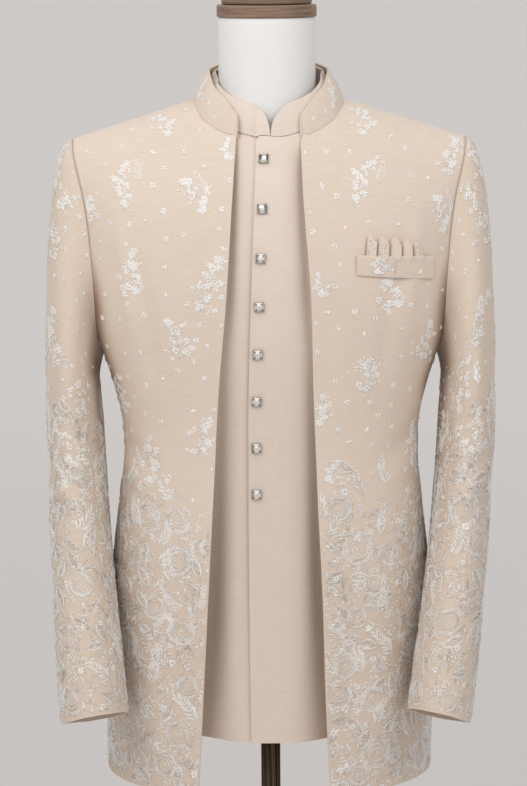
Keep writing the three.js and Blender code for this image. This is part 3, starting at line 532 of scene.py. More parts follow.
# ---------- Sleeves ----------
# Two-piece set-in sleeves: a wide top sleeve and a narrow under sleeve. The cap swells out of
# the armhole seam, and the arm bends forward a little at the elbow. The cuffs are open.
sleeve = reader(["height", "x", "y", "half_width", "half_depth"], [
    (1130, 224.5, -6, 29.5, 83), (1085, 223.5, -10, 31.3, 80), (1040, 221.5, -19, 32.3, 76),
    (985, 218.0, -36, 33.3, 71), (930, 213.5, -59, 34.4, 65), (875, 208.0, -84, 35.8, 59),
    (820, 202.0, -108, 37.0, 54), (757, 195.0, -131, 37.8, 49),
])
UPPER_ARM, CUFF, SLEEVE_END = 1130, 763, 757
SWING, GIRTH = {-1: 0, 1: -7.5}, {-1: 1.01, 1: 0.95}
SEAM_TURN = 2 * math.pi * 10 / 28


def sleeve_middle(side, h):
    """The sleeve's middle line; it swings out or in with the square of the way down."""
    hang = (UPPER_ARM - h) / (UPPER_ARM - SLEEVE_END)
    x = side * (sleeve("x", h) + SWING[side] * hang**2) + lean(h)
    return np.stack([x, sleeve("y", h), h + 0 * x], -1)


def sleeve_ring(side, angle, h):
    """An oval square to the middle line, by the sleeve's own girth; angle 0 is its outer side and a
    quarter turn its front."""
    girth = 1 + (GIRTH[side] - 1) * np.clip((UPPER_ARM - h) / (UPPER_ARM - CUFF), 0, 1)
    down = unit(sleeve_middle(side, h - 8) - sleeve_middle(side, h + 8))
    outward = unit(np.array([side, 0, 0]) - down * (down[..., :1] * side))
    forward = np.cross(outward, down) * side
    forward = forward * -np.sign(forward[..., 1:2])
    return (
        sleeve_middle(side, h)
        + outward * (girth * sleeve("half_width", h) * np.cos(angle))[..., None]
        + forward * (sleeve("half_depth", h) * np.sin(angle))[..., None]
    )


def bare_sleeve(side, angle, r):
    """A sleeve's face. From r 0 to 1 each line is one smooth curve out of the armhole seam down to
    the upper arm, and from r 1 to 2 the rings run down to the cuff, which rises towards the body."""
    angle, r = np.broadcast_arrays(angle, r)
    cuff = CUFF + 5.5 * (1 - np.cos(angle)) / 2
    h = UPPER_ARM - (UPPER_ARM - cuff) * np.clip(r - 1, 0, 1)
    ring = sleeve_ring(side, angle, h)
    rise = (1 + np.cos(angle)) / 2
    seam_h = UNDERARM + (SHOULDER - UNDERARM) * rise
    seam_x = side * armhole("x", seam_h)
    front = (np.mod(angle, 2 * math.pi) <= math.pi)[..., None]
    start = np.where(front, on_form("front", seam_x, seam_h), on_form("back", seam_x, seam_h))
    start = start + np.array([side * GAP, 0, 0])
    away = unit(np.stack([side * (0.35 + 0.65 * rise), 0 * rise, -1.1 + rise], -1))
    t = np.clip(r, 0, 1)[..., None]
    second = start + away * (8 + 20 * rise)[..., None]
    third = ring + np.stack([0 * rise, 0 * rise, 10 + 115 * rise], -1)
    cap = (1 - t) ** 3 * start + 3 * (1 - t) ** 2 * t * second + 3 * (1 - t) * t**2 * third + t**3 * ring
    return np.where((r < 1)[..., None], cap, ring)


sleeve_folds = {
    -1: [
        (0.9, 1.28, 1.9, 1.38, 0.045, -3.0), (0.7, 1.42, 1.8, 1.47, 0.05, -2.6),
        (1.0, 1.34, 1.7, 1.43, 0.035, 1.8), (1.3, 1.12, 2.0, 1.24, 0.05, -1.8),
        (-0.4, 1.2, 0.6, 1.32, 0.07, -1.6), (-0.5, 1.5, 0.5, 1.66, 0.06, -1.7),
        (0.2, 1.62, 1.1, 1.78, 0.05, 1.4), (1.5, 0.55, 0.7, 0.95, 0.07, -1.6),
        (-1.4, 0.6, -0.9, 1.1, 0.07, -1.6), (-2.2, 1.3, -1.2, 1.42, 0.05, -2.2),
        (-2.1, 1.6, -1.1, 1.5, 0.05, 1.6), (0.3, 0.7, 0.2, 1.25, 0.10, 1.0),
    ],
    1: [
        (0.9, 1.25, 1.9, 1.35, 0.045, -2.8), (0.6, 1.40, 1.8, 1.46, 0.05, -2.8),
        (1.0, 1.31, 1.7, 1.41, 0.035, 1.8), (1.3, 1.10, 2.0, 1.21, 0.05, -1.8),
        (-0.4, 1.24, 0.6, 1.36, 0.07, -1.4), (-0.6, 1.55, 0.5, 1.69, 0.06, -1.8),
        (0.2, 1.66, 1.1, 1.8, 0.05, 1.3), (1.5, 0.6, 0.7, 0.98, 0.07, -1.6), (-1.4, 0.6, -0.9, 1.1, 0.07, -1.5),
        (-2.2, 1.28, -1.2, 1.41, 0.05, -2.2), (-2.1, 1.62, -1.1, 1.52, 0.05, 1.5),
        (0.3, 0.7, 0.2, 1.25, 0.10, 1.0),
    ],
}


def on_sleeve(side, angle, r, lift=0.0):
    """A point of a sleeve's face, lifted off its folds."""
    angle, r = np.broadcast_arrays(np.asarray(angle, float), np.asarray(r, float))
    at = lambda a, r: bare_sleeve(side, a, r)
    middle = at(angle, r)
    r_low, r_high = np.maximum(r - 0.004, 0), np.minimum(r + 0.004, 2)
    out = unit(np.cross(at(angle + 0.01, r) - at(angle - 0.01, r), at(angle, r_high) - at(angle, r_low))) * side
    turned = (angle + math.pi) % (2 * math.pi) - math.pi
    fade = smoothstep(r, 0.05, 0.4) * (1 - smoothstep(r, 1.9, 2.0))
    height = folds(sleeve_folds[side], turned, r) * fade
    return middle + out * (height + lift)[..., None]


down_sleeve = rows_of(first=48, second=70)
MEAN_RADIUS = 62
for arm, side in (("right", -1), ("left", 1)):
    for part, start, end, columns, flat, area in (
        ("top_sleeve", -SEAM_TURN, SEAM_TURN, 58, (0.30, 0.66), 0.150),
        ("under_sleeve", SEAM_TURN, 2 * math.pi - SEAM_TURN, 24, (0.14, 0.50), 0.050),
    ):
        name = f"{part}_{arm}"
        angles = np.linspace(start + 0.002, end - 0.002, columns)[None, :]
        grid = on_sleeve(side, angles, down_sleeve)[::-1]
        grid = grid if side < 0 else grid[:, ::-1]
        wide = np.broadcast_to(angles if side < 0 else angles[:, ::-1], grid.shape[:2])
        r = down_sleeve[::-1]
        # Painted shade on the sleeves: a painted shadow along the inner side beside the body, a dark line at the
        # armhole seam, and a little painted shade over all, more on the lower arm.
        from_outer = np.abs((wide + math.pi) % (2 * math.pi) - math.pi)
        inner_side = smoothstep(from_outer - 0.3 * smoothstep(r, 0.75, 1.0), 2.1, 2.75)
        painted_shade_beside_body = 0.7 * inner_side * smoothstep(r, 0.15, 0.6) * (1 - smoothstep(r, 1.1, 1.7))
        seam = 0.36 * (1 - smoothstep(r, 0.008, 0.026))
        deep = np.maximum(painted_shade_beside_body, seam) + 0.07 + 0.06 * smoothstep(r, 0.9, 1.3)
        cloth = shell(name + "_cloth", grid, JACKET_WALL, jacket_cloth, (MEAN_RADIUS * wide, grid[..., 2]), deep)
        record(cloth, "jacket_cloth", name, flat=flat, area=area, held="hung", rests_on=["jacket_back_cloth"])

# ---------- Jacket collar ----------
# A stand collar of the same cloth, stiffened, sewn into the neck seam. Its two front
# corners are rounded, and it leans in towards the neck.
NECK_MIDDLE_Y = -12


def collar_grid(base, height, corner, lowest, gap, lean_in, side_lean, rows):
    """A band rising from a neckline and leaning in to the neck's axis. Its height follows a quarter
    circle at both of its ends, and it bows out a little halfway up."""
    run = run_of(base)
    from_end = np.minimum(np.minimum(run, run[-1] - run), corner)
    roundness = np.sqrt(np.clip(1 - ((corner - from_end) / corner) ** 2, 0, 1))
    stand = (lowest + (height - lowest) * roundness) / height
    axis = np.stack([lean(base[:, 2]), np.full(len(base), NECK_MIDDLE_Y), base[:, 2]], -1)
    inward = unit(axis - base)
    beside = np.minimum(1, np.abs(base[:, 0] - axis[:, 0]) / SIDE_NECK) ** 2
    level = np.linspace(0, 1, rows)[:, None] * stand
    grid = base + inward * ((lean_in + side_lean * beside) * level - 1.5 * np.sin(math.pi * level))[..., None]
    grid[..., 2] += gap + (height - 1.5 - 3.5 * beside) * level
    return grid


def spaced(line, shares):
    """Points of a line at these shares of its length."""
    run = run_of(line)
    return np.stack([np.interp(shares * run[-1], run, line[:, k]) for k in range(3)], -1)


COLLAR_ROWS, COLLAR_COLUMNS = 18, 190
step = np.linspace(8, YOKE_STEPS, 60)
neck_front = lambda side: on_form("front", side * yoke("neck", step), yoke("edge", step))
neck_x = np.linspace(SIDE_NECK, -SIDE_NECK, 121)[1:-1]
neck_back = on_form("back", neck_x, RIDGE + BACK_NECK * (1 - (neck_x / SIDE_NECK) ** 2))
neckline = np.concatenate([neck_front(1), neck_back, neck_front(-1)[::-1]])
base = spaced(neckline, np.linspace(0, 1, COLLAR_COLUMNS))
collar_face = collar_grid(
    base, height=38, corner=45, lowest=11, gap=GAP, lean_in=10, side_lean=7, rows=COLLAR_ROWS)
cloth = shell("jacket_collar_cloth", collar_face, JACKET_WALL, jacket_cloth)
record(
    cloth, "jacket_cloth", "jacket_collar", flat=(0.42, 0.04), area=0.0155, held="stretched",
    rests_on=["jacket_back_cloth"])

# ---------- Inner front ----------
# The plain buttoned front inside the jacket, in two layers caught in its shoulder and side
# seams. The upper layer's free edge is the placket; the under layer laps beneath it.
INNER_WALL = 1.4
INNER_HEM = 731
UNDER_LAP = 1.8
placket = reader(["height", "x"], [
    (731, -21), (853, -23), (1012, -25), (1125, -24.5), (1269, -19.5), (1411, -14)])
inner_cloth = cloth_finish("inner_cloth", (0.845, 0.735, 0.65), (0.80, 0.685, 0.595), 0.18)


def inner_inset(h):
    """How far the inner front lies inside the jacket's face: close at the shoulder, looser below."""
    return 2.7 + 4.3 * smoothstep(RIDGE - h, 40, 150)


def setback(x, h, further=0.0):
    """Below the chest the inner front and the form behind it stand back from the jacket, most beside
    its open edges; towards the side seams they come forward to it again."""
    beside = 0.45 + 0.55 * smoothstep(np.abs(x), 30, 80)
    return 26 * (1 - smoothstep(h, 800, 1230)) * beside * (1 - smoothstep(np.abs(x), 95 + further, 155 + further))


inner_folds = {
    1: [
        (37, 1425, 47, 1180, 11, -8.5), (45, 1260, 63, 800, 13, -6.0), (18, 1395, -8, 1372, 4, -1.2),
        (24, 1385, -6, 1360, 4, -0.9), (10, 1180, 16, 1000, 9, -0.9), (28, 980, 34, 760, 12, 1.2),
        (-6, 975, 22, 940, 6, -1.3), (2, 900, 6, 740, 10, -0.8), (-20, 1380, -22, 745, 2.4, 0.5),
        (-17.5, 759, 110, 761, 1.3, -0.7),
    ],
    -1: [
        (-42, 1425, -51, 1180, 9, -6.5), (-50, 1260, -70, 760, 10, -4.2), (-28, 1385, -37, 1000, 6, 2.2),
        (-37, 1050, -45, 750, 8, 2.6), (-19, 1380, -24, 745, 4, -1.6), (-18, 759, -110, 761, 1.3, -0.7),
    ],
}


def inner_panel(side, columns, edge_at, inset_at, rise):
    """One layer of the inner front, with its folds raised on its own face."""
    x, h = panel_places(side, columns, 100, 54, INNER_HEM, edge_at, ("inner_edge", "inner_neck"), inset_at, rise)
    grid = on_form("front", x, h, inset_at(h))
    grid[..., 1] += setback(x, h)
    lift = folds(inner_folds[side], x, h) * (1 - smoothstep(h, 1385, 1410))
    return grid + grid_out(grid) * lift[..., None], (x, h)


def painted_edge_shadow(x, h):
    """Painted shade on the inner front: a painted shadow beside and behind the jacket's edges, more so towards
    the hem, and painted shade that grows towards the hem.
    """
    edge = np.where(x > 0, front_edge("left", h), front_edge("right", h))
    bare = np.maximum(edge - np.abs(x), 0)
    beside = np.exp(-((bare / 26) ** 2))
    return 0.14 * smoothstep(1400 - h, 0, 560) + (0.08 + 0.17 * smoothstep(1250 - h, 0, 400)) * beside


def under_inset(h):
    """How far the under layer lies inside the jacket's face: a wall and a gap inside the upper."""
    return inner_inset(h) + INNER_WALL + UNDER_LAP


for name, node, (grid, threads) in (
    ("inner_front_cloth", "inner_front_left", inner_panel(1, 80, lambda h: placket("x", h), inner_inset, 0)),
    ("inner_under_cloth", "inner_front_right", inner_panel(-1, 60, lambda h: -14 + 0 * h, under_inset, 4)),
):
    # The inner fronts get painted shadow beside the jacket's edges and painted shade towards the hem.
    cloth = shell(name, grid, INNER_WALL, inner_cloth, threads, painted_edge_shadow(*threads))
    record(cloth, "inner_cloth", node, flat=(0.29, 0.72), area=0.165, held="hung", rests_on=["form_torso"])

# ---------- Inner collar ----------
# The inner front's own stand collar, of its plain cloth. It closes at the throat, where its
# two rounded ends meet in a notch.
inset = inner_inset(yoke("inner_edge", step))
upper_neck = on_form(
    "front", yoke("inner_neck", step), yoke("inner_edge", step) - inset * step / YOKE_STEPS, inset)
middle_x = upper_neck[0, 0] + 14
throat = 0.4 + np.linspace(0, 74, 80)


def inner_neck_at(x):
    """The inner neckline at sideways places; beyond the placket it is the other side's, mirrored."""
    beyond = x < -14
    reach = np.where(beyond, -x, x) + middle_x
    y, z = (np.interp(reach, upper_neck[:, 0], upper_neck[:, k]) for k in (1, 2))
    return np.stack([np.where(beyond, 2 * middle_x - reach, reach), y + 2.7 * smoothstep(-x, 12, 22), z], -1)


axis = np.stack([lean(neck_back[:, 2]), np.full(len(neck_back), NECK_MIDDLE_Y), neck_back[:, 2]], -1)
inner_back = neck_back + unit(axis - neck_back) * 5
base = np.concatenate([inner_neck_at(1.5 + throat), inner_back, inner_neck_at(1.5 - throat)[::-1]])
near_end = np.linspace(0, 1, 60) ** 1.6 * 0.5
base = spaced(base, np.r_[near_end, 1 - near_end[::-1][1:]])
grid = collar_grid(base, height=35, corner=27, lowest=1.5, gap=2 * GAP, lean_in=10, side_lean=9.5, rows=14)
cloth = shell("inner_collar_cloth", grid, INNER_WALL, inner_cloth)
record(
    cloth, "inner_cloth", "inner_collar", flat=(0.42, 0.037), area=0.0125, held="stretched",
    rests_on=["inner_front_cloth"])

# ---------- Pocket ----------
# A slanted welt of the jacket's cloth on the wearer's left chest, and a pleated square of the
# same embroidered cloth standing out of it.
WELT_START, WELT_WIDE, WELT_HIGH, WELT_FALL = 94.5, 85.5, 1284, 5.5
SQUARE_START, SQUARE_WIDE, TUCKED = 103, 68, 4


def chest_patch(name, place, lift, wall, columns, rows, material, deep=lambda u, v: 0 * u):
    """A patch on the chest: places and lifts over the unit square, carried onto the jacket's front."""
    u, v = np.meshgrid(np.linspace(0, 1, columns), np.linspace(0, 1, rows))
    x, h = place(u, v)
    return shell(name, on_form("front", x, h, -(lift(u, v) + wall)), wall, material, deep=deep(u, v))


def welt_top(x):
    """The welt's slanting upper edge."""
    return WELT_HIGH - WELT_FALL * (x - WELT_START) / WELT_WIDE


def welt_place(u, v):
    """The welt's outline, a little taller towards the armhole."""
    return WELT_START + WELT_WIDE * u, WELT_HIGH - WELT_FALL * u - (22 + 3.5 * u) * (1 - v)


pocket_welt = chest_patch(
    "pocket_welt_cloth", welt_place, lambda u, v: 0.7 + 1.8 * v - 0.6 * np.exp(-((1 - v) / 0.06) ** 2),
    wall=1.4, columns=60, rows=24, material=jacket_cloth)
pleat_ends = np.array([0, 0.19, 0.40, 0.61, 0.80, 1.0])
pleat_tall = np.array([27, 25, 24, 23, 19])


def in_pleat(u):
    """Which of the five pleats a place lies in, and how far across it."""
    k = np.clip(np.searchsorted(pleat_ends, u, side="right") - 1, 0, 4)
    return k, (u - pleat_ends[k]) / (pleat_ends[k + 1] - pleat_ends[k])


def square_place(u, v):
    """The square's outline: its foot follows the welt, and each pleat's crest rises steeply to a
    rounded peak, then falls away to the right."""
    k, t = in_pleat(u)
    x = SQUARE_START + SQUARE_WIDE * u
    rounded = 0.72 + 0.28 * np.sin(math.pi * np.minimum(t * 1.25, 1)) ** 0.7
    crest = pleat_tall[k] * rounded - 9 * smoothstep(u, 0.86, 1)
    return x + (2.2 - 4 * u) * v, welt_top(x) - TUCKED + crest * v


def square_lift(u, v):
    """Each pleat swells towards its right edge, which stands over the next one."""
    k, t = in_pleat(u)
    return 0.5 + 4.6 * t**0.8 * (1 - smoothstep(t, 0.93, 1)) * (0.75 + 0.25 * v)


def slit_shade(u, v):
    """Painted shade in the slits between the pleats, most of all at their feet, and more at the square's left
    end.
    """
    k, t = in_pleat(u)
    slit = np.maximum(np.exp(-((t / 0.13) ** 2)), smoothstep(t, 0.95, 0.99))
    return slit * (0.85 - 0.45 * v) * np.where(u < 0.03, 1.2, 1)


pocket_square = chest_patch(
    "pocket_square_cloth", square_place, square_lift, wall=1.0, columns=181, rows=24,
    material=jacket_cloth, deep=slit_shade)
for cloth, node, flat in (
    (pocket_welt, "pocket_welt", (0.09, 0.026)), (pocket_square, "pocket_square", (0.08, 0.026)),
):
    record(cloth, "jacket_cloth", node, flat=flat, held="folded", rests_on=["jacket_front_left_cloth"])

# ---------- Thread work ----------
# White floss and silvery metal thread sewn through the jacket's cloth: sprigs and small
# flowers above, growing into close roses, leaves and ferns at the hem and cuffs.
rng = np.random.default_rng(11)
PATH = 7
UP = math.pi / 2
ON_CLOTH = 0.05


def vary(low, high):
    """A number thrown at random between two others."""
    return rng.uniform(low, high)


def motif(rows=(), beads=(), lines=()):
    """Stitch groups of a motif: satin petals, round beads and couched lines."""
    return np.array(rows, float).reshape(-1, 6), list(beads), list(lines)


def moved(part, x, y, turn=0.0):
    """A part of a motif, turned and put down at a place within it."""
    leaves, beads, lines = part
    c, s = math.cos(turn), math.sin(turn)
    spin = lambda a, b: (x + a * c - b * s, y + a * s + b * c)
    leaves = leaves.copy()
    leaves[:, 0], leaves[:, 1] = spin(leaves[:, 0].copy(), leaves[:, 1].copy())
    leaves[:, 2] += turn
    beads = [(*spin(a, b), size, tone) for a, b, size, tone in beads]
    lines = [(np.stack(spin(path[:, 0], path[:, 1]), -1), width, tone) for path, width, tone in lines]
    return leaves, beads, lines


def joined(parts):
    """Several motifs as one."""
    leaves, beads, lines = zip(*parts)
    return np.concatenate(leaves), sum(beads, []), sum(lines, [])


def bowed(line, t):
    """The place at a share of the way along a couched line."""
    return (np.interp(t * (PATH - 1), np.arange(PATH), line[0][:, k]) for k in (0, 1))


def bend(start, end, sag, width, tone):
    """One couched line: a straight run from start to end, bowed aside by its sag."""
    t = np.linspace(0, 1, PATH)[:, None]
    start, end = np.array(start, float), np.array(end, float)
    aside = np.array([-(end - start)[1], (end - start)[0]])
    return start + (end - start) * t + aside * sag * 4 * t * (1 - t), width, tone


def arc(radius, start, sweep, width, tone, grow=0.0):
    """One couched line round a middle, its radius growing along the way."""
    a = start + sweep * np.linspace(0, 1, PATH)
    r = radius + grow * np.linspace(0, 1, PATH)
    return np.stack([r * np.cos(a), r * np.sin(a)], -1), width, tone


def blossom(across, count=5, tone=1.0):
    """Uneven petals close about a bead, some of them worked a little greyer."""
    turns = vary(0, 6.3) + (np.arange(count) + rng.uniform(-0.16, 0.16, count)) * 2 * math.pi / count
    rows = [(0.05 * across * math.cos(t), 0.05 * across * math.sin(t), t, across * vary(0.38, 0.52),
             across * vary(1.5, 2.05) / count, tone * vary(0.85, 1.1)) for t in turns]
    return motif(rows, [(0, 0, across * 0.22, tone * vary(0.55, 1))])


def berries(count, reach, size=2.2):
    """Beads scattered about a middle."""
    return motif(beads=[
        (*(rng.normal(0, 0.5, 2) * reach), size * vary(0.7, 1.25), vary(0.75, 1.05)) for _ in range(count)])


def dash(length, width, tone=1.0, heading=UP):
    """One satin stitch."""
    return motif([(0, 0, heading, length, width, tone)])


def fern(length, leaflet, width, tone):
    """A bowed stem with pairs of slender leaflets that point up and out, shorter towards the tip."""
    stem = bend((0, 0), (0, length), vary(-0.1, 0.1), 0.9, tone)
    pairs = max(4, round(length / 4.6))
    rows = [(0, length, UP, leaflet * 0.5, width, tone)]
    for i in range(pairs):
        t = 0.1 + 0.82 * i / (pairs - 1)
        a, b = bowed(stem, t)
        for way in (-1, 1):
            leaf = UP + way * vary(0.5, 0.72)
            rows.append((a, b, leaf, leaflet * (1.05 - 0.5 * t), width, tone * vary(0.85, 1.08)))
    return motif(rows, lines=[stem])


def outline_leaf(length, tone):
    """A big leaf worked in a double outline, with a vein and slanting bars across it."""
    wide = vary(0.2, 0.27)
    lines = [bend((0, 0), (0, length), way * wide * share, 1.3, tone * vary(0.8, 1.1))
             for way in (-1, 1) for share in (1, 0.72)]
    lines.append(bend((0, -4), (0, length * 0.9), 0, 0.9, tone * 0.8))
    rows = []
    for i in range(7):
        t = 0.1 + 0.7 * i / 6
        bar = length * wide * 4 * t * (1 - t) * 0.66
        rows += [(0, t * length, UP - way * 0.9, bar, 1.1, tone * vary(0.55, 1.1)) for way in (-1, 1)]
    return motif(rows, lines=lines)


def satin_leaf(length, tone):
    """A leaf filled with slanting stitches on both sides of its midrib, laid a little apart."""
    rows = []
    count = round(length / 1.9)
    for i in range(count):
        t = (i + 0.5) / count
        stitch = length * 0.48 * math.sin(math.pi * min(1, t * 1.05)) ** 0.8 * vary(0.8, 1.1)
        rows += [(0, t * length * 0.8, UP + way * 0.75, stitch, 1.35, tone * vary(0.7, 1.12)) for way in (-1, 1)]
    return motif(rows, lines=[bend((0, -3), (0, length), 0, 0.8, tone * 0.7)])


def rose(across, tone):
    """A coiled heart, broken rings of curved lines, and crescent petals of radial stitches, each
    petal edged by two lines."""
    half, start = across / 2, vary(0, 6.3)
    lines = [arc(half * 0.12, start, 4.4, 1.0, tone), arc(half * 0.26, start + 2, 3.4, 1.1, tone, half * 0.12)]
    rows = []
    for ring, count in ((0.46, 3), (0.6, 3)):
        for i in range(count):
            a = start + ring * 9 + 2 * math.pi * i / count
            lines.append(arc(half * ring, a, vary(1.5, 2.3), 1.1, tone * vary(0.7, 1.1), half * 0.1))
    petals = 3 if across < 20 else rng.integers(4, 6)
    for i in range(petals):
        a0, sweep = start + i * 6.3 / petals + vary(-0.35, 0.35), vary(0.9, 1.9) * 4.4 / petals
        reach = half * vary(0.88, 1.12)
        stitches = max(5, round(sweep * reach / 1.75))
        for k in range(stitches):
            t = (k + 0.5) / stitches
            a, deep = a0 + sweep * t, math.sin(math.pi * t) ** 0.5
            r = reach * (0.97 - 0.30 * deep)
            stitch = reach * 0.31 * deep + 0.4
            rows.append((r * math.cos(a), r * math.sin(a), a, stitch, 1.25, tone * vary(0.74, 1.12)))
        lines.append(arc(reach, a0, sweep, 1.1, tone * vary(0.8, 1.1)))
        lines.append(arc(reach * 0.7, a0, sweep, 0.9, tone * vary(0.6, 1)))
    return motif(rows, [(0, 0, across * 0.07, tone)], lines)


def curl(size, tone):
    """A crescent tendril ending in a bead."""
    line = arc(size, vary(0, 6.3), vary(1.8, 3.6), 1.2, tone, -size * 0.4)
    return motif(beads=[(*line[0][-1], 1.8, tone)], lines=[line])


def sprig(tall, wide, with_fern=False):
    """A loose upright bunch: full blossoms to both sides of a bowed stem, buds, berries and leaves."""
    stem = bend((0, -tall * 0.5), (vary(-0.12, 0.12) * tall, tall * 0.5), vary(-0.14, 0.14), 0.6, 0.9)
    parts = [motif(lines=[stem])]
    stations = max(8, round(tall / 2.8))
    for i in range(stations):
        t = (i + 0.5) / stations
        full = wide * 0.36 * math.sin(math.pi * (0.12 + 0.76 * t)) ** 0.8 * (1.2 - 0.45 * t)
        a, b = bowed(stem, t)
        for way in (-1, 1):
            x, y, pick = a + full * (0.25 * way + rng.normal(0, 0.62)), b + vary(-4, 4), rng.random()
            if pick < 0.48:
                parts.append(moved(blossom(vary(5.6, 9.6), rng.integers(4, 7)), x, y))
            elif pick < 0.72:
                parts.append(moved(berries(rng.integers(5, 10), 4.6, 2.5), x, y))
            else:
                for k in range(rng.integers(2, 4)):
                    bud = dash(vary(3.5, 7), vary(1.6, 2.6), vary(0.8, 1.05))
                    parts.append(moved(bud, x, y, -way * vary(0.2, 1.5) + k * 0.8))
            if pick > 0.7:
                parts.append(motif(lines=[bend((a, b), (x, y), vary(-0.2, 0.2), 0.6, 0.9)]))
    if with_fern:
        leaf = fern(24, 10, 1.4, 0.95)
        parts.append(moved(leaf, rng.choice((-1, 1)) * wide * 0.5, vary(-0.2, 0.2) * tall, vary(-0.5, 0.5)))
    return joined(parts)


def buti():
    """One tiny scattered flower: a full one, two or three petals, or a bead."""
    pick = rng.random()
    if pick < 0.5:
        return blossom(vary(6.0, 8.4), rng.integers(4, 6))
    if pick < 0.8:
        return motif([
            (0, 0, UP + k * vary(0.8, 1.3), vary(3.6, 5.4), vary(2.2, 3), 1) for k in range(rng.integers(2, 4))])
    return berries(1, 0, 4.2)


def filler():
    """A bud, bar, leaf pair, hooked line or a few beads that fill the ground between larger flowers."""
    pick, tone, turned = rng.random(), vary(0.6, 1.1), vary(0, 6.3)
    if pick < 0.34:
        return berries(rng.integers(2, 5), 2.4, 1.9)
    if pick < 0.56:
        return dash(vary(3.2, 6), vary(1.3, 2.0), tone, turned)
    if pick < 0.74:
        return joined([dash(vary(2.6, 4.6), vary(1.4, 2.1), tone, turned + k) for k in (0, 0.9)])
    return curl(vary(1.6, 3.6), tone)


def speck():
    """The smallest fillers: one bead, or one or two hair-fine stitches."""
    if rng.random() < 0.5:
        return berries(1, 0, 1.8)
    turned = vary(0, 6.3)
    return joined([
        dash(vary(2.2, 4.2), vary(0.9, 1.3), vary(0.55, 1.1), turned + k) for k in range(rng.integers(1, 3))])


library = {
    "sprig": [sprig(vary(42, 54), vary(32, 38), i % 3 == 0) for i in range(14)],
    "big_sprig": [sprig(vary(60, 70), vary(36, 44), True) for _ in range(4)],
    "small_sprig": [sprig(28, 22) for _ in range(6)],
    "tall_fern": [fern(vary(30, 38), vary(12, 15), 2.1, vary(0.8, 1)) for _ in range(8)],
    "rose": [rose(vary(26, 33), vary(0.95, 1.08)) for _ in range(12)],
    "small_rose": [rose(vary(12, 17), vary(0.85, 1.05)) for _ in range(10)],
    "outline_leaf": [outline_leaf(vary(20, 30), vary(0.8, 1)) for _ in range(12)],
    "satin_leaf": [satin_leaf(vary(10, 16), vary(0.75, 1)) for _ in range(12)],
    "fern": [fern(vary(17, 27), vary(7, 10), vary(1.2, 1.9), vary(0.75, 1)) for _ in range(12)],
    "blossom": [blossom(vary(6.5, 10), rng.integers(5, 8), vary(0.8, 1)) for _ in range(12)],
    "buti": [buti() for _ in range(20)],
    "filler": [filler() for _ in range(60)],
    "speck": [speck() for _ in range(40)],
}
PETAL = np.array([
    (0, 0, 0), (0.34, -0.46, 0), (0.78, -0.42, 0), (1, 0, 0), (0.78, 0.42, 0), (0.34, 0.46, 0), (0.55, 0, 1)])
PETAL_FACES = np.array([(6, i, (i + 1) % 6) for i in range(6)])
ROUND = np.array([(0.5 * math.cos(t), 0.5 * math.sin(t), 0) for t in np.arange(5) * 0.4 * math.pi] + [(0, 0, 1)])
ROUND_FACES = np.array([(5, i, (i + 1) % 5) for i in range(5)])
LINE_FACES = np.array([
    (3 * i + k, 3 * i + k + 1, 3 * i + k + 4, 3 * i + k + 3) for i in range(PATH - 1) for k in (0, 1)])[:, ::-1]
TAPER = np.array([0.45, 0.9, 1, 1, 1, 0.9, 0.45])


def stitched(part):
    """The raised shapes of one motif, drawn flat about its middle: corners, tone and own grain of
    each, as (faces, corners, tones, grain) for its petals, its beads and its lines."""
    leaves, beads, lines = part
    shapes = []
    # Each shape's tone is lower at its rim than at its raised middle: partly the stitches sinking into the cloth,
    # partly painted shade for the shadows round the raised thread.
    if len(leaves):
        x, y, heading, length, width, tone = (leaves[:, k, None] for k in range(6))
        a, b = PETAL[:, 0] * length, PETAL[:, 1] * width
        c, s = np.cos(heading), np.sin(heading)
        local = np.stack([x + a * c - b * s, y + a * s + b * c, PETAL[:, 2] * (0.4 + 0.26 * width)], -1)
        shapes.append((PETAL_FACES, local, tone * (0.7 + 0.36 * PETAL[:, 2]), np.stack([a, b], -1)))
    if beads:
        x, y, size, tone = (np.array(beads)[:, k, None] for k in range(4))
        a, b = ROUND[:, 0] * size, ROUND[:, 1] * size
        local = np.stack([x + a, y + b, ROUND[:, 2] * (0.3 + 0.3 * size)], -1)
        shapes.append((ROUND_FACES, local, tone * (0.72 + 0.34 * ROUND[:, 2]), np.stack([a, b], -1)))
    if lines:
        path, width = np.stack([l[0] for l in lines]), np.array([l[1] for l in lines])[:, None]
        along = np.gradient(path, axis=1)
        aside = np.stack([-along[..., 1], along[..., 0]], -1)
        aside /= np.linalg.norm(aside, axis=-1, keepdims=True)
        across = (width * TAPER / 2)[..., None]
        local = np.stack([path - aside * across, path, path + aside * across], 2).reshape(len(path), -1, 2)
        raised = np.tile([0.0, 1.0, 0.0], PATH)[None, :] * (0.3 + 0.45 * width)
        run = np.repeat(np.cumsum(np.linalg.norm(along, axis=-1), axis=1), 3, axis=1)
        grain = np.stack([run, np.tile([-0.5, 0, 0.5], PATH)[None, :] * width], -1)
        tone = np.array([l[2] for l in lines])[:, None] * np.tile([0.62, 1.06, 0.62], PATH)
        shapes.append((LINE_FACES, np.concatenate([local, raised[..., None]], -1), tone, grain))
    return shapes


stitches_of = {kind: [stitched(part) for part in parts] for kind, parts in library.items()}


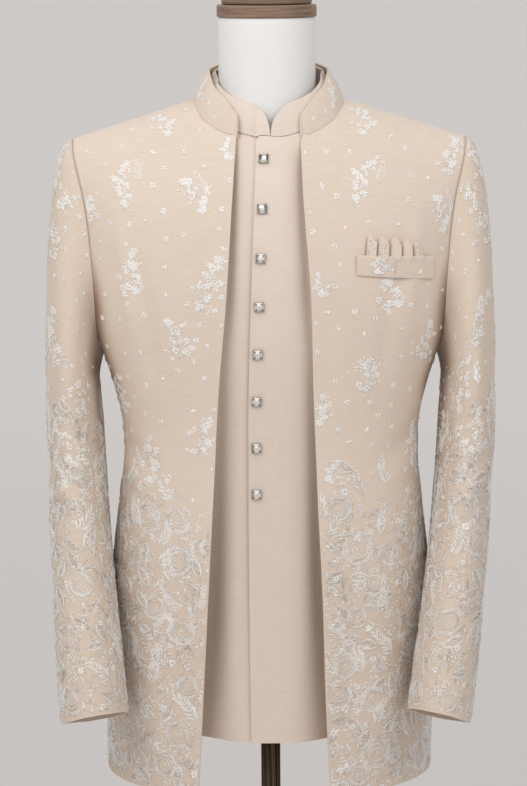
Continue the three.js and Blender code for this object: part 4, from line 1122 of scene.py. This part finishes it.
def sew(name, surface, ways, inside, placed, painted_dimming=1.0):
    """Joins every motif into one thin piece on the cloth. The surface takes two places, in
    millimetres along the cloth, and a lift; ways tells which way each of them counts. A stitch is
    kept if all of it is inside. Painted dimming is the share of its whiteness that the thread
    keeps: below 1 it paints shade on the thread."""
    at = np.array([m[1:3] for m in placed], float)
    still = np.zeros(len(at))
    origin = surface(at[:, 0], at[:, 1], still)
    per_p = np.linalg.norm(surface(at[:, 0] + ways[0], at[:, 1], still) - origin, axis=-1).clip(0.6, 1.7)
    per_q = np.linalg.norm(surface(at[:, 0], at[:, 1] + ways[1], still) - origin, axis=-1).clip(0.6, 1.7)
    groups = {id(f): (f, []) for f in (PETAL_FACES, ROUND_FACES, LINE_FACES)}
    for m, (kind, p, q, turned, scale, lift) in enumerate(placed):
        c, s = math.cos(turned) * scale, math.sin(turned) * scale
        for corners, local, tone, grain in stitches_of[kind][(m * 11 + 3) % len(library[kind])]:
            a = local[..., 0] * c - local[..., 1] * s
            b = local[..., 0] * s + local[..., 1] * c
            laid = np.stack([p + ways[0] * a / per_p[m], q + ways[1] * b / per_q[m], local[..., 2] + lift], -1)
            groups[id(corners)][1].append((laid, tone, grain))
    points, tones, grains, faces, total = [], [], [], [], 0
    for corners, laid in groups.values():
        if not laid:
            continue
        pql, tone, grain = (np.concatenate([item[k] for item in laid]) for k in range(3))
        kept = inside(pql[..., 0], pql[..., 1]).all(axis=1)
        pql = pql[kept].reshape(-1, 3)
        starts = total + np.arange(kept.sum()) * (corners.max() + 1)
        faces.append((corners[None] + starts[:, None, None]).reshape(-1, corners.shape[1]))
        points.append(surface(*pql.T))
        tones.append(tone[kept].ravel())
        grains.append(grain[kept].reshape(-1, 2))
        total += len(pql)
    points, grains, tones = (np.concatenate(parts) for parts in (points, grains, tones))
    thread = mesh_piece(name, points, faces, thread_finish, grains, tone=painted_dimming * tones)
    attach(thread, "root")


thread_finish, tree, shader = finish("floss_and_metal_thread", Roughness=0.42, Sheen_Weight=0.25)
tone, stitch_uv = add(tree, "Attribute"), add(tree, "UVMap")
tone.attribute_name, stitch_uv.uv_map = "tone", "cloth"
ramp = ramp_of(tree, (0.34, (0.40, 0.335, 0.275)), (0.6, (0.73, 0.67, 0.61)), (0.78, (0.95, 0.92, 0.885)))
shine = add(tree, "MapRange", {"From Min": 0.4, "From Max": 0.7, "To Min": 0.15, "To Max": 0.0})
wire(
    tree, (tone.outputs["Fac"], ramp.inputs["Fac"]), (ramp.outputs["Color"], shader.inputs["Base Color"]),
    (tone.outputs["Fac"], shine.inputs["Value"]), (shine.outputs[0], shader.inputs["Metallic"]))
relief(tree, shader, drawn_noise(tree, stitch_uv.outputs["UV"], (2600, 300, 1)), strength=0.6, distance=0.0005)

# Each row of the lay-out: motif, tries per square decimetre, room it keeps round it, and
# whether it belongs to the close ground (1) or the open ground (0).
lay_out = (
    ("rose", 5, 14.5, 1), ("outline_leaf", 18, 8, 1), ("tall_fern", 14, 8.6, 1), ("small_rose", 10, 6.6, 1),
    ("fern", 50, 5.6, 1), ("satin_leaf", 60, 4.2, 1), ("blossom", 80, 3.1, 1), ("buti", 50, 9.5, 0),
    ("filler", 1400, 1.45, 1), ("speck", 2600, 0.8, 1),
)
MOST_PLACES, CLOSE_SHARE = 20000, 0.56


def cover(low, high, inside, dense, sprigs, share=1.0):
    """Lays out one panel between two corners: its sprigs first, then every kind of the lay-out in
    turn, each thrown at random and kept if it is clear of all that lie there already. The close
    kinds are thrown over the lower part only."""
    room = {"big_sprig": 27, "sprig": 21, "small_sprig": 13, "tall_fern": 14}
    placed = [(kind, p, q, vary(-0.65, 0.65), 1.0, 0.1) for kind, p, q in sprigs]
    taken = np.zeros((MOST_PLACES, 3))
    taken[:len(placed)] = np.array([(p, q, room[kind]) for kind, p, q in sprigs]).reshape(-1, 3)
    for kind, tries, reach, close in lay_out:
        size = (high[0] - low[0], (high[1] - low[1]) * (CLOSE_SHARE if close else 1))
        throws = np.array(low) + size * rng.random((int(share * tries * size[0] * size[1] / 10000), 2))
        chance = dense(*throws.T)
        chance = chance if close else (chance < 0.35) * 1.0
        for p, q in throws[(rng.random(len(throws)) < chance) & inside(*throws.T)]:
            near = taken[:len(placed)]
            if not len(near) or (np.hypot(near[:, 0] - p, near[:, 1] - q) > near[:, 2] + reach).all():
                taken[len(placed)] = (p, q, reach)
                turned = vary(-0.9, 0.9) if "fern" in kind else vary(-3.1, 3.1)
                placed.append((kind, p, q, turned, vary(0.88, 1.14), vary(0.05, 0.3)))
    return placed


def grows(low, high):
    """How closely the thread work stands: 0 among the upper sprigs, 1 below, with an uneven edge."""
    return lambda p, q: 1 - smoothstep(q + 22 * np.sin(p / 19) + 12 * np.sin(p / 7), low, high)


body_growth, sleeve_growth = grows(925, 1035), grows(1000, 1120)


def clear_of_side(s, h):
    """Whether a place is clear of the armhole, of the side seam below it, and of the hem."""
    return (np.abs(s) < along_at(side_line(h), h) - 2) & (h > HEM + 1.5)


def front_inside(side, column, s, h):
    """Whether a place lies on a front, clear of its seams and of its free edge."""
    x = np.abs(across_at(s, h))
    neck = np.interp(h, yoke("edge", step), yoke("neck", step))
    edge = np.where(h > 1409, neck + 1, front_edge(column, h) + 0.5)
    below_ridge = h < RIDGE - 3 + SLOPE * (SIDE_NECK - x)
    return clear_of_side(s, h) & (x > edge) & below_ridge & (np.sign(s) == side)


chest_sprigs = {
    -1: [
        ("sprig", 159, 1356), ("sprig", 84, 1347), ("sprig", 155, 1263), ("big_sprig", 68, 1252),
        ("sprig", 105, 1192), ("sprig", 122, 1422), ("small_sprig", 42, 1396), ("sprig", 72, 1082),
        ("big_sprig", 126, 1040), ("sprig", 168, 1120), ("small_sprig", 200, 1330),
    ],
    1: [
        ("sprig", 102, 1360), ("sprig", 187, 1322), ("sprig", 128, 1243), ("sprig", 106, 1151),
        ("sprig", 170, 1184), ("sprig", 101, 1424), ("small_sprig", 58, 1251), ("small_sprig", 58, 1113),
        ("tall_fern", 105, 1010), ("tall_fern", 130, 1020), ("sprig", 160, 1060), ("sprig", 200, 1386),
        ("small_sprig", 70, 1040),
    ],
}
for side, column in ((-1, "right"), (1, "left")):
    inside = lambda s, h, side=side, column=column: front_inside(side, column, s, h)
    surface = lambda s, h, lift, side=side: on_face("front", side, s, h, lift + ON_CLOTH)
    start, end = sorted((side * 30, side * 290))
    sprigs = [(kind, side * along_at(float(x), h), h) for kind, x, h in chest_sprigs[side]]
    placed = cover((start, HEM), (end, 1440), inside, body_growth, sprigs)
    sew(f"front_{column}_thread", surface, (1, 1), inside, placed)


def back_inside(s, h):
    """Whether a place lies on the back, clear of its seams."""
    x = np.abs(across_at(s, h))
    top = RIDGE + np.where(
        x < SIDE_NECK, BACK_NECK * (1 - (x / SIDE_NECK) ** 2) - 3, SLOPE * (SIDE_NECK - x) - 4)
    return clear_of_side(s, h) & (h < top)


back_sprigs = [
    ("sprig", -150, 1350), ("small_sprig", -80, 1390), ("sprig", -30, 1330), ("sprig", 70, 1372),
    ("sprig", 158, 1318), ("sprig", -110, 1262), ("big_sprig", 40, 1236), ("sprig", 130, 1208),
    ("sprig", -42, 1172), ("sprig", -145, 1150), ("sprig", 78, 1118), ("small_sprig", 10, 1090),
    ("big_sprig", -92, 1062), ("big_sprig", 112, 1034), ("small_sprig", -168, 1060), ("small_sprig", 20, 1420),
    ("small_sprig", 168, 1120),
]
placed = cover((-296, HEM), (296, 1455), back_inside, body_growth, back_sprigs, share=0.55)
sew("back_thread", lambda s, h, lift: on_face("back", 0, s, h, lift + ON_CLOTH), (-1, 1), back_inside, placed)

collar_run, collar_out = run_of(collar_face[0]), grid_out(collar_face)
collar_tall = np.linalg.norm(collar_face[-1] - collar_face[0], axis=-1)


def between(grid, i, j):
    """A grid read i rows and j columns along: the four points about the place, each by its nearness."""
    i, j = i.clip(0, grid.shape[0] - 1.001), j.clip(0, grid.shape[1] - 1.001)
    row, column = i.astype(int), j.astype(int)
    u, v = (t.reshape(t.shape + (1,) * (grid.ndim - 2)) for t in (i - row, j - column))
    low, high = (grid[row + k, column] * (1 - v) + grid[row + k, column + 1] * v for k in (0, 1))
    return low * (1 - u) + high * u


def on_collar(p, q, lift):
    """A point of the jacket collar's face, p round it from the wearer's left end and q above its seam."""
    i = q / np.maximum(np.interp(p, collar_run, collar_tall), 1) * (COLLAR_ROWS - 1)
    j = np.interp(p, collar_run, np.arange(COLLAR_COLUMNS))
    return between(collar_face, i, j) + between(collar_out, i, j) * (lift[..., None] + ON_CLOTH)


def collar_inside(p, q):
    """Whether a place lies on the collar, clear of its edges."""
    tall = np.interp(p, collar_run, collar_tall)
    return (p > 3) & (p < collar_run[-1] - 3) & (q > 1.5) & (q < tall - 1.5)


collar_sprigs = [
    ("small_sprig", collar_run[-1] - 78, 20), ("small_sprig", 66, 22), ("small_sprig", 150, 20),
    ("small_sprig", 215, 19), ("buti", 38, 14), ("buti", collar_run[-1] - 48, 20),
    ("buti", collar_run[-1] - 34, 10), ("buti", 108, 20), ("buti", 182, 18), ("buti", 20, 14),
    ("buti", collar_run[-1] - 112, 20), ("buti", 250, 22),
]
sew("collar_thread", on_collar, (1, 1), collar_inside,
    [(kind, p, q, vary(-0.6, 0.6), 0.9, 0.1) for kind, p, q in collar_sprigs])

pocket_sprigs = [
    ("small_sprig", 121, 1272, 0.3), ("fern", 136, 1262, 0.1), ("buti", 165, 1262, 0),
    ("blossom", 121, 1276, 0), ("blossom", 128, 1270, 0),
]
sew("welt_thread",
    lambda x, h, lift: on_form("front", x, h, -(2.3 + 1.6 * (h - 1258) / 24) - lift), (1, 1),
    lambda x, h: (x > 96) & (x < 178) & (h < welt_top(x) - 0.8) & (h > welt_top(x) - 21),
    [(kind, x, h, turned, 1.0, 0.1) for kind, x, h, turned in pocket_sprigs])


def square_inside(p, q):
    """Whether a place lies on one of the square's pleats, below its peak."""
    k, t = in_pleat(p / SQUARE_WIDE)
    return (p > 0.4) & (p < 67.6) & (q > 4.5) & (q < 0.92 * pleat_tall[k]) & (t < 0.9) & (t > 0.05)


def on_square(p, q, lift):
    """A point of the square's face, p across it and q above its foot."""
    u = p / SQUARE_WIDE
    x, top = square_place(u, 1.0 + 0 * p)
    v = q / np.maximum(top - welt_top(SQUARE_START + SQUARE_WIDE * u) + TUCKED, 1)
    x, h = square_place(u, v)
    return on_form("front", x, h, -(square_lift(u, v) + 1.05 + lift))


square_places = [
    (p, q) for p in (2, 5, 8, 11, 14.5, 17.5, 20.5, 23.5, 56, 60, 64) for q in (5.5, 9, 12.5, 16, 19.5, 23)]
sew("square_thread", on_square, (1, 1), square_inside,
    [("filler", p + vary(-1, 1), q + vary(-1, 1), vary(-3, 3), 0.75, 0.05) for p, q in square_places])

# The sleeve's face is read from a table of its own: levels down it, turns round it, and runs of
# four millimetres along the cloth.
HALF_LEVELS, SLEEVE_REACH, RUN_STEP = 20, 220, 4
turns, levels = np.linspace(-math.pi, math.pi, 181), np.linspace(0, 2, 2 * HALF_LEVELS + 1)
runs = np.arange(-SLEEVE_REACH, SLEEVE_REACH + 1, RUN_STEP)


def sleeve_places(side):
    """Reads the sleeve in millimetres: p is the way round the cloth from its outer line, positive
    towards the front, and q is 1130 at the upper arm and counts upwards along the cloth."""
    grid = bare_sleeve(side, turns[None, :], levels[:, None])
    around = np.c_[0 * levels, np.linalg.norm(np.diff(grid, axis=1), axis=-1).cumsum(axis=1)]
    around = around - around[:, len(turns) // 2, None]
    angle_at = np.stack([np.interp(runs, row, turns) for row in around])
    fall = np.linalg.norm(np.diff(grid, axis=0), axis=-1)
    cap, arm = fall[:HALF_LEVELS].sum(axis=0), fall[HALF_LEVELS:].sum(axis=0)

    def read(p, q):
        """The angle round the sleeve and the place down it; the second round refines the first."""
        angle = np.interp(p, around[HALF_LEVELS], turns)
        for _ in range(2):
            length = np.where(q > UPPER_ARM, np.interp(angle, turns, cap), np.interp(angle, turns, arm))
            r = (1 + (UPPER_ARM - q) / length).clip(0, 2)
            angle = between(angle_at, r * HALF_LEVELS, (p + SLEEVE_REACH) / RUN_STEP)
        return angle, r

    return read


sleeve_sprigs = [
    ("sprig", 22, 1352), ("small_sprig", 70, 1316), ("sprig", -42, 1330), ("sprig", 52, 1262),
    ("sprig", -12, 1240), ("big_sprig", 74, 1180), ("sprig", 16, 1160), ("sprig", -60, 1190),
    ("small_sprig", -104, 1240), ("sprig", 110, 1120), ("small_sprig", 46, 1100), ("sprig", -28, 1098),
    ("sprig", -96, 1130), ("sprig", 84, 1064), ("small_sprig", 6, 1052), ("sprig", 150, 1060),
    ("small_sprig", -150, 1120),
]
for side, arm in ((-1, "right"), (1, "left")):
    read = sleeve_places(side)

    def inside(p, q):
        """Whether a place lies on the sleeve, clear of its seams, its inner line and the cuff's edge."""
        angle, r = read(p, q)
        turned = np.abs(angle)
        off_seams = (np.abs(turned - SEAM_TURN) > 0.012) & (turned < 3.1) & (r > 0.03)
        return off_seams & (r < 1.992) & (np.abs(p) < 190)

    surface = lambda p, q, lift, side=side, read=read: on_sleeve(side, *read(p, q), lift + ON_CLOTH)
    sprigs = [(kind, p, q + 6 * side) for kind, p, q in sleeve_sprigs]
    placed = cover((-175, 726), (175, 1420), inside, sleeve_growth, sprigs, share=0.85)
    # The sleeves' thread is dimmed a little: painted shade.
    sew(f"sleeve_{arm}_thread", surface, (-side, 1), inside, placed, painted_dimming=0.92)

# ---------- Buttons ----------
# Eight square cut stones, each held by a dark antique-silver claw setting with four bent prongs,
# sewn one under another to the placket of the inner front.
FIRST_BUTTON, BUTTON_STEP = 1387, 53
setting_metal = finish("antique_silver", Base_Color=(0.36, 0.33, 0.30, 1), Metallic=0.8, Roughness=0.36)[0]
cut_stone, tree, shader = finish("cut_stone", Metallic=0.75, Roughness=0.09, Coat_Weight=0.6)

# Painted reflection: the stone's four narrow corner facets are coloured dark, as if they mirrored
# # the dark setting, and the main facets bright. Both the sideways and the upright slope of a
# # corner facet are steep, so the product of the two tells them from the main facets.
facing, parts = add(tree, "NewGeometry"), add(tree, "SeparateXYZ")
slope, size = add(tree, "Math", operation="MULTIPLY"), add(tree, "Math", operation="ABSOLUTE")
shade = add(tree, "MapRange", {"From Min": 0.03, "From Max": 0.12})
mix = add(tree, "Mix", {6: (0.93, 0.92, 0.90, 1), 7: (0.20, 0.175, 0.155, 1)})
wire(
    tree, (facing.outputs["True Normal"], parts.inputs[0]), (parts.outputs["X"], slope.inputs[0]),
    (parts.outputs["Z"], slope.inputs[1]), (slope.outputs[0], size.inputs[0]),
    (size.outputs[0], shade.inputs["Value"]), (shade.outputs[0], mix.inputs["Factor"]),
    (mix.outputs[2], shader.inputs["Base Color"]))


def ring_of(half, round_off, height):
    """A square ring with its corners cut off, at a height: eight points counter-clockwise."""
    a, b = half, half - round_off
    return np.array([(a, -b, height), (a, b, height), (b, a, height), (-b, a, height),
                     (-a, b, height), (-a, -b, height), (-b, -a, height), (b, -a, height)])


def stacked(rings):
    """Points and faces of a solid made of equal rings, closed with a flat face at both ends."""
    n, count = len(rings[0]), len(rings)
    side = [(k * n + i, k * n + (i + 1) % n, (k + 1) * n + (i + 1) % n, (k + 1) * n + i)
            for k in range(count - 1) for i in range(n)]
    points = np.concatenate([np.concatenate(rings), [rings[0].mean(axis=0)], [rings[-1].mean(axis=0)]])
    caps = [(n * count, (i + 1) % n, i) for i in range(n)] + [
        (n * count + 1, (count - 1) * n + i, (count - 1) * n + (i + 1) % n) for i in range(n)]
    return points, np.array(side), np.array(caps)


def claw(turned):
    """One claw: a small bent prong that rises beside a corner and folds over the stone."""
    c, s = math.cos(turned), math.sin(turned)
    rings = []
    for out, up, half in ((5.9, 0.2, 1.0), (6.6, 2.0, 1.0), (6.1, 4.0, 1.0), (4.9, 4.7, 0.7)):
        box = [(out - 0.55, -half), (out + 0.55, -half), (out + 0.55, half), (out - 0.55, half)]
        rings.append(np.array([(x * c - y * s, x * s + y * c, up) for x, y in box]))
    return stacked(rings)


def merged(solids):
    """Several solids as one: all their points, and their four- and three-cornered faces."""
    starts = np.cumsum([0] + [len(points) for points, _, _ in solids])
    return np.concatenate([s[0] for s in solids]), [
        np.concatenate([s[k] + start for s, start in zip(solids, starts)]) for k in (1, 2)]


setting = merged([stacked([ring_of(5.0, 1.0, 0.0), ring_of(5.25, 1.0, 1.2), ring_of(5.0, 1.0, 2.2)])] + [
    claw(math.pi / 4 + k * math.pi / 2) for k in range(4)])
stone = merged([stacked([
    ring_of(4.7, 1.0, 1.6), ring_of(4.9, 1.0, 2.3), ring_of(3.0, 1.1, 4.0), ring_of(1.3, 0.6, 4.5)])])
inner_point = lambda x, h: on_form("front", x, h, inner_inset(h)) + np.array([0, setback(x, h), 0])
for k in range(8):
    h = np.float64(FIRST_BUTTON - BUTTON_STEP * k)
    x = placket("x", h) + 9
    along = unit(inner_point(x + 1, h) - inner_point(x - 1, h))
    rise = unit(inner_point(x, h + 1) - inner_point(x, h - 1))
    out = unit(np.cross(along, rise))
    askew = 0.07 * math.sin(2.3 * k)
    c, s = math.cos(askew), math.sin(askew)
    tilt = np.array([[c, s, 0], [-s, c, 0], [0, 0, 1]]) @ np.stack([along, np.cross(out, along), out])
    for part, (points, faces), material in (("setting", setting, setting_metal), ("stone", stone, cut_stone)):
        piece = mesh_piece(
            f"button_{k + 1}_{part}", inner_point(x, h) + out * 0.25 + points @ tilt, faces, material)
        piece.data.shade_flat()
        record(piece, "stone_buttons", f"button_{k + 1}")

# ---------- Dress form ----------
# A torso and neck padded smooth and covered in off-white cloth, two turned walnut discs on the
# neck, and a bronzed pole in a socket on a round foot.
form_cover, tree, shader = finish("form_cover", Roughness=0.85, Sheen_Weight=0.1)
weave = drawn_noise(tree, add(tree, "TexCoord").outputs["Object"], (900, 900, 900))
ramp = ramp_of(tree, (0, (0.85, 0.84, 0.825)), (1, (0.92, 0.915, 0.905)))
wire(tree, (weave, ramp.inputs["Fac"]), (ramp.outputs["Color"], shader.inputs["Base Color"]))
relief(tree, shader, weave, strength=0.12, distance=0.0004)


def solid_grid(name, grid, material, slot, node):
    """A closed round piece: rings from the bottom up, with a middle point at both ends."""
    rows, columns = grid.shape[:2]
    number = np.c_[np.arange(rows * columns).reshape(rows, columns), np.arange(rows) * columns]
    low, top = rows * columns, rows * columns + 1
    caps = np.concatenate([
        np.stack([np.full(columns, low), number[0, 1:], number[0, :-1]], -1),
        np.stack([np.full(columns, top), number[-1, :-1], number[-1, 1:]], -1)])
    points = np.concatenate([grid.reshape(-1, 3), grid[0].mean(axis=0)[None], grid[-1].mean(axis=0)[None]])
    record(mesh_piece(name, points, [quads(number), caps], material), slot, node)


NECK_MIDDLE_X, NECK_RADIUS, ROUND_COUNT = 0.8, 54, 96


def torso_ring(h, shrink):
    """One level section of the torso; it follows the cloth inside it, clear of it all round."""
    loose = smoothstep(RIDGE - h, 40, 150)
    inset = under_inset(h) + INNER_WALL + 0.8 + 3 * loose
    ridge_x = SIDE_NECK + (RIDGE - inset - h) / SLOPE
    reach = min(body("half_width", h) - inset - 2, 186, ridge_x) * shrink
    rings = []
    turned = np.linspace(-1, 1, ROUND_COUNT)
    for face, turned in (("front", turned), ("back", -turned)):
        x = reach * np.sin(turned * math.pi / 2)
        row = on_form(face, x, h, inset + 5 * (1 - smoothstep(np.abs(x), 70, 125)))
        row[..., 1] *= shrink * (1 - 0.4 * (1 - smoothstep(np.abs(x), 100, 150)) * smoothstep(h, 1385, 1415))
        if face == "front":
            row[..., 1] += setback(x, h, 12)
            throat = NECK_RADIUS**2 - (x - NECK_MIDDLE_X) ** 2
            throat_y = NECK_MIDDLE_Y - 0.97 * np.sqrt(np.maximum(throat, 0))
            row[..., 1] = np.where(h > 1380, np.minimum(row[..., 1], throat_y), row[..., 1])
        row[[0, -1], 1] = np.maximum(row[[0, -1], 1], 1) if face == "back" else np.minimum(row[[0, -1], 1], -1)
        rings.append(row)
    return np.concatenate(rings)


def circle(middle, radius, h, turned):
    """Points about an upright line, by their radius, height and turn."""
    x, y = middle[0] + radius * np.cos(turned), middle[1] + radius * np.sin(turned)
    return np.stack([x, y, h + 0 * turned], -1)


neck_axis = (NECK_MIDDLE_X, NECK_MIDDLE_Y)
neck_turn = np.linspace(-math.pi, math.pi, 2 * ROUND_COUNT + 1)[:-1]
heights = np.r_[782:1380:14j, 1380:1418:6j]
torso_rings = [torso_ring(np.float64(772), 0.96)] + [torso_ring(np.float64(h), 1.0) for h in heights]
neck_rings = [circle(neck_axis, radius, h, neck_turn) for h, radius in (
    (1431, 55.5), (1440, 54.5), (1449, 54), (1480, 54), (1510, 54), (1530, 54), (1535.5, 53.6), (1537, 52.6))]
solid_grid("form_torso_cover", np.stack(torso_rings + neck_rings), form_cover, "form_cover", "form_torso")


def lathe(name, middle, profile, material, slot, node):
    """A turned piece: its profile of radius and height spun about an upright line."""
    turned = np.linspace(0, 2 * math.pi, ROUND_COUNT + 1)[:-1]
    radius, h = np.array(profile, float).T[:, :, None]
    solid_grid(name, circle(middle, radius, h, turned), material, slot, node)


def rounded_rim(radius, low, high, rounding):
    """The profile of a disc with both of its edges rounded by a quarter circle."""
    t = np.linspace(0, math.pi / 2, 6)
    below = [(radius - rounding + rounding * math.sin(a), low + rounding - rounding * math.cos(a)) for a in t]
    above = [(radius - rounding + rounding * math.cos(a), high - rounding + rounding * math.sin(a)) for a in t]
    return [(radius - rounding - 12, low)] + below + above + [(radius - rounding - 12, high)]


# Walnut: rings of dark grain drawn out across the disc, with lighter wear along the edges.
walnut, tree, shader = finish("walnut", Roughness=0.5)
grain = drawn_noise(tree, add(tree, "TexCoord").outputs["Object"], (14, 40, 420), 5.0)
ramp = ramp_of(tree, (0.34, (0.10, 0.055, 0.033)), (0.68, (0.30, 0.19, 0.125)))
edges, lighten = add(tree, "NewGeometry"), add(tree, "Mix", {7: (0.42, 0.31, 0.22, 1)})
wear = add(tree, "MapRange", {"From Min": 0.505, "From Max": 0.56, "To Min": 0.0, "To Max": 0.7})
wire(
    tree, (grain, ramp.inputs["Fac"]), (ramp.outputs["Color"], lighten.inputs[6]),
    (edges.outputs["Pointiness"], wear.inputs["Value"]), (wear.outputs[0], lighten.inputs["Factor"]),
    (lighten.outputs[2], shader.inputs["Base Color"]))
relief(tree, shader, grain, strength=0.3, distance=0.0004)
lathe("neck_disc_lower", neck_axis, rounded_rim(55.5, 1537.3, 1551, 2), walnut, "neck_cap", "neck_cap_lower")
lathe("neck_disc_upper", neck_axis, rounded_rim(50.5, 1551.3, 1561, 3), walnut, "neck_cap", "neck_cap_upper")

# Bronzed steel, drawn lengthwise: fine upright streaks in its tone and polish.
bronze, tree, shader = finish("bronze", Metallic=0.9)
streak = drawn_noise(tree, add(tree, "TexCoord").outputs["Object"], (420, 420, 6))
ramp = ramp_of(tree, (0.42, (0.018, 0.013, 0.009)), (0.66, (0.13, 0.10, 0.075)))
polish = add(tree, "MapRange", {"To Min": 0.24, "To Max": 0.5})
wire(
    tree, (streak, ramp.inputs["Fac"]), (ramp.outputs["Color"], shader.inputs["Base Color"]),
    (streak, polish.inputs["Value"]), (polish.outputs[0], shader.inputs["Roughness"]))
pole_profile = [(10.3, 14.3), (11.3, 15.3), (11.3, 770.7), (10.3, 771.7)]
lathe("pole_tube", (0, 0), pole_profile, bronze, "stand_metal", "pole")
for o in bpy.data.objects:
    if o.type == "MESH" and o.name.startswith("foot"):
        for slot in o.material_slots:
            slot.material = bronze
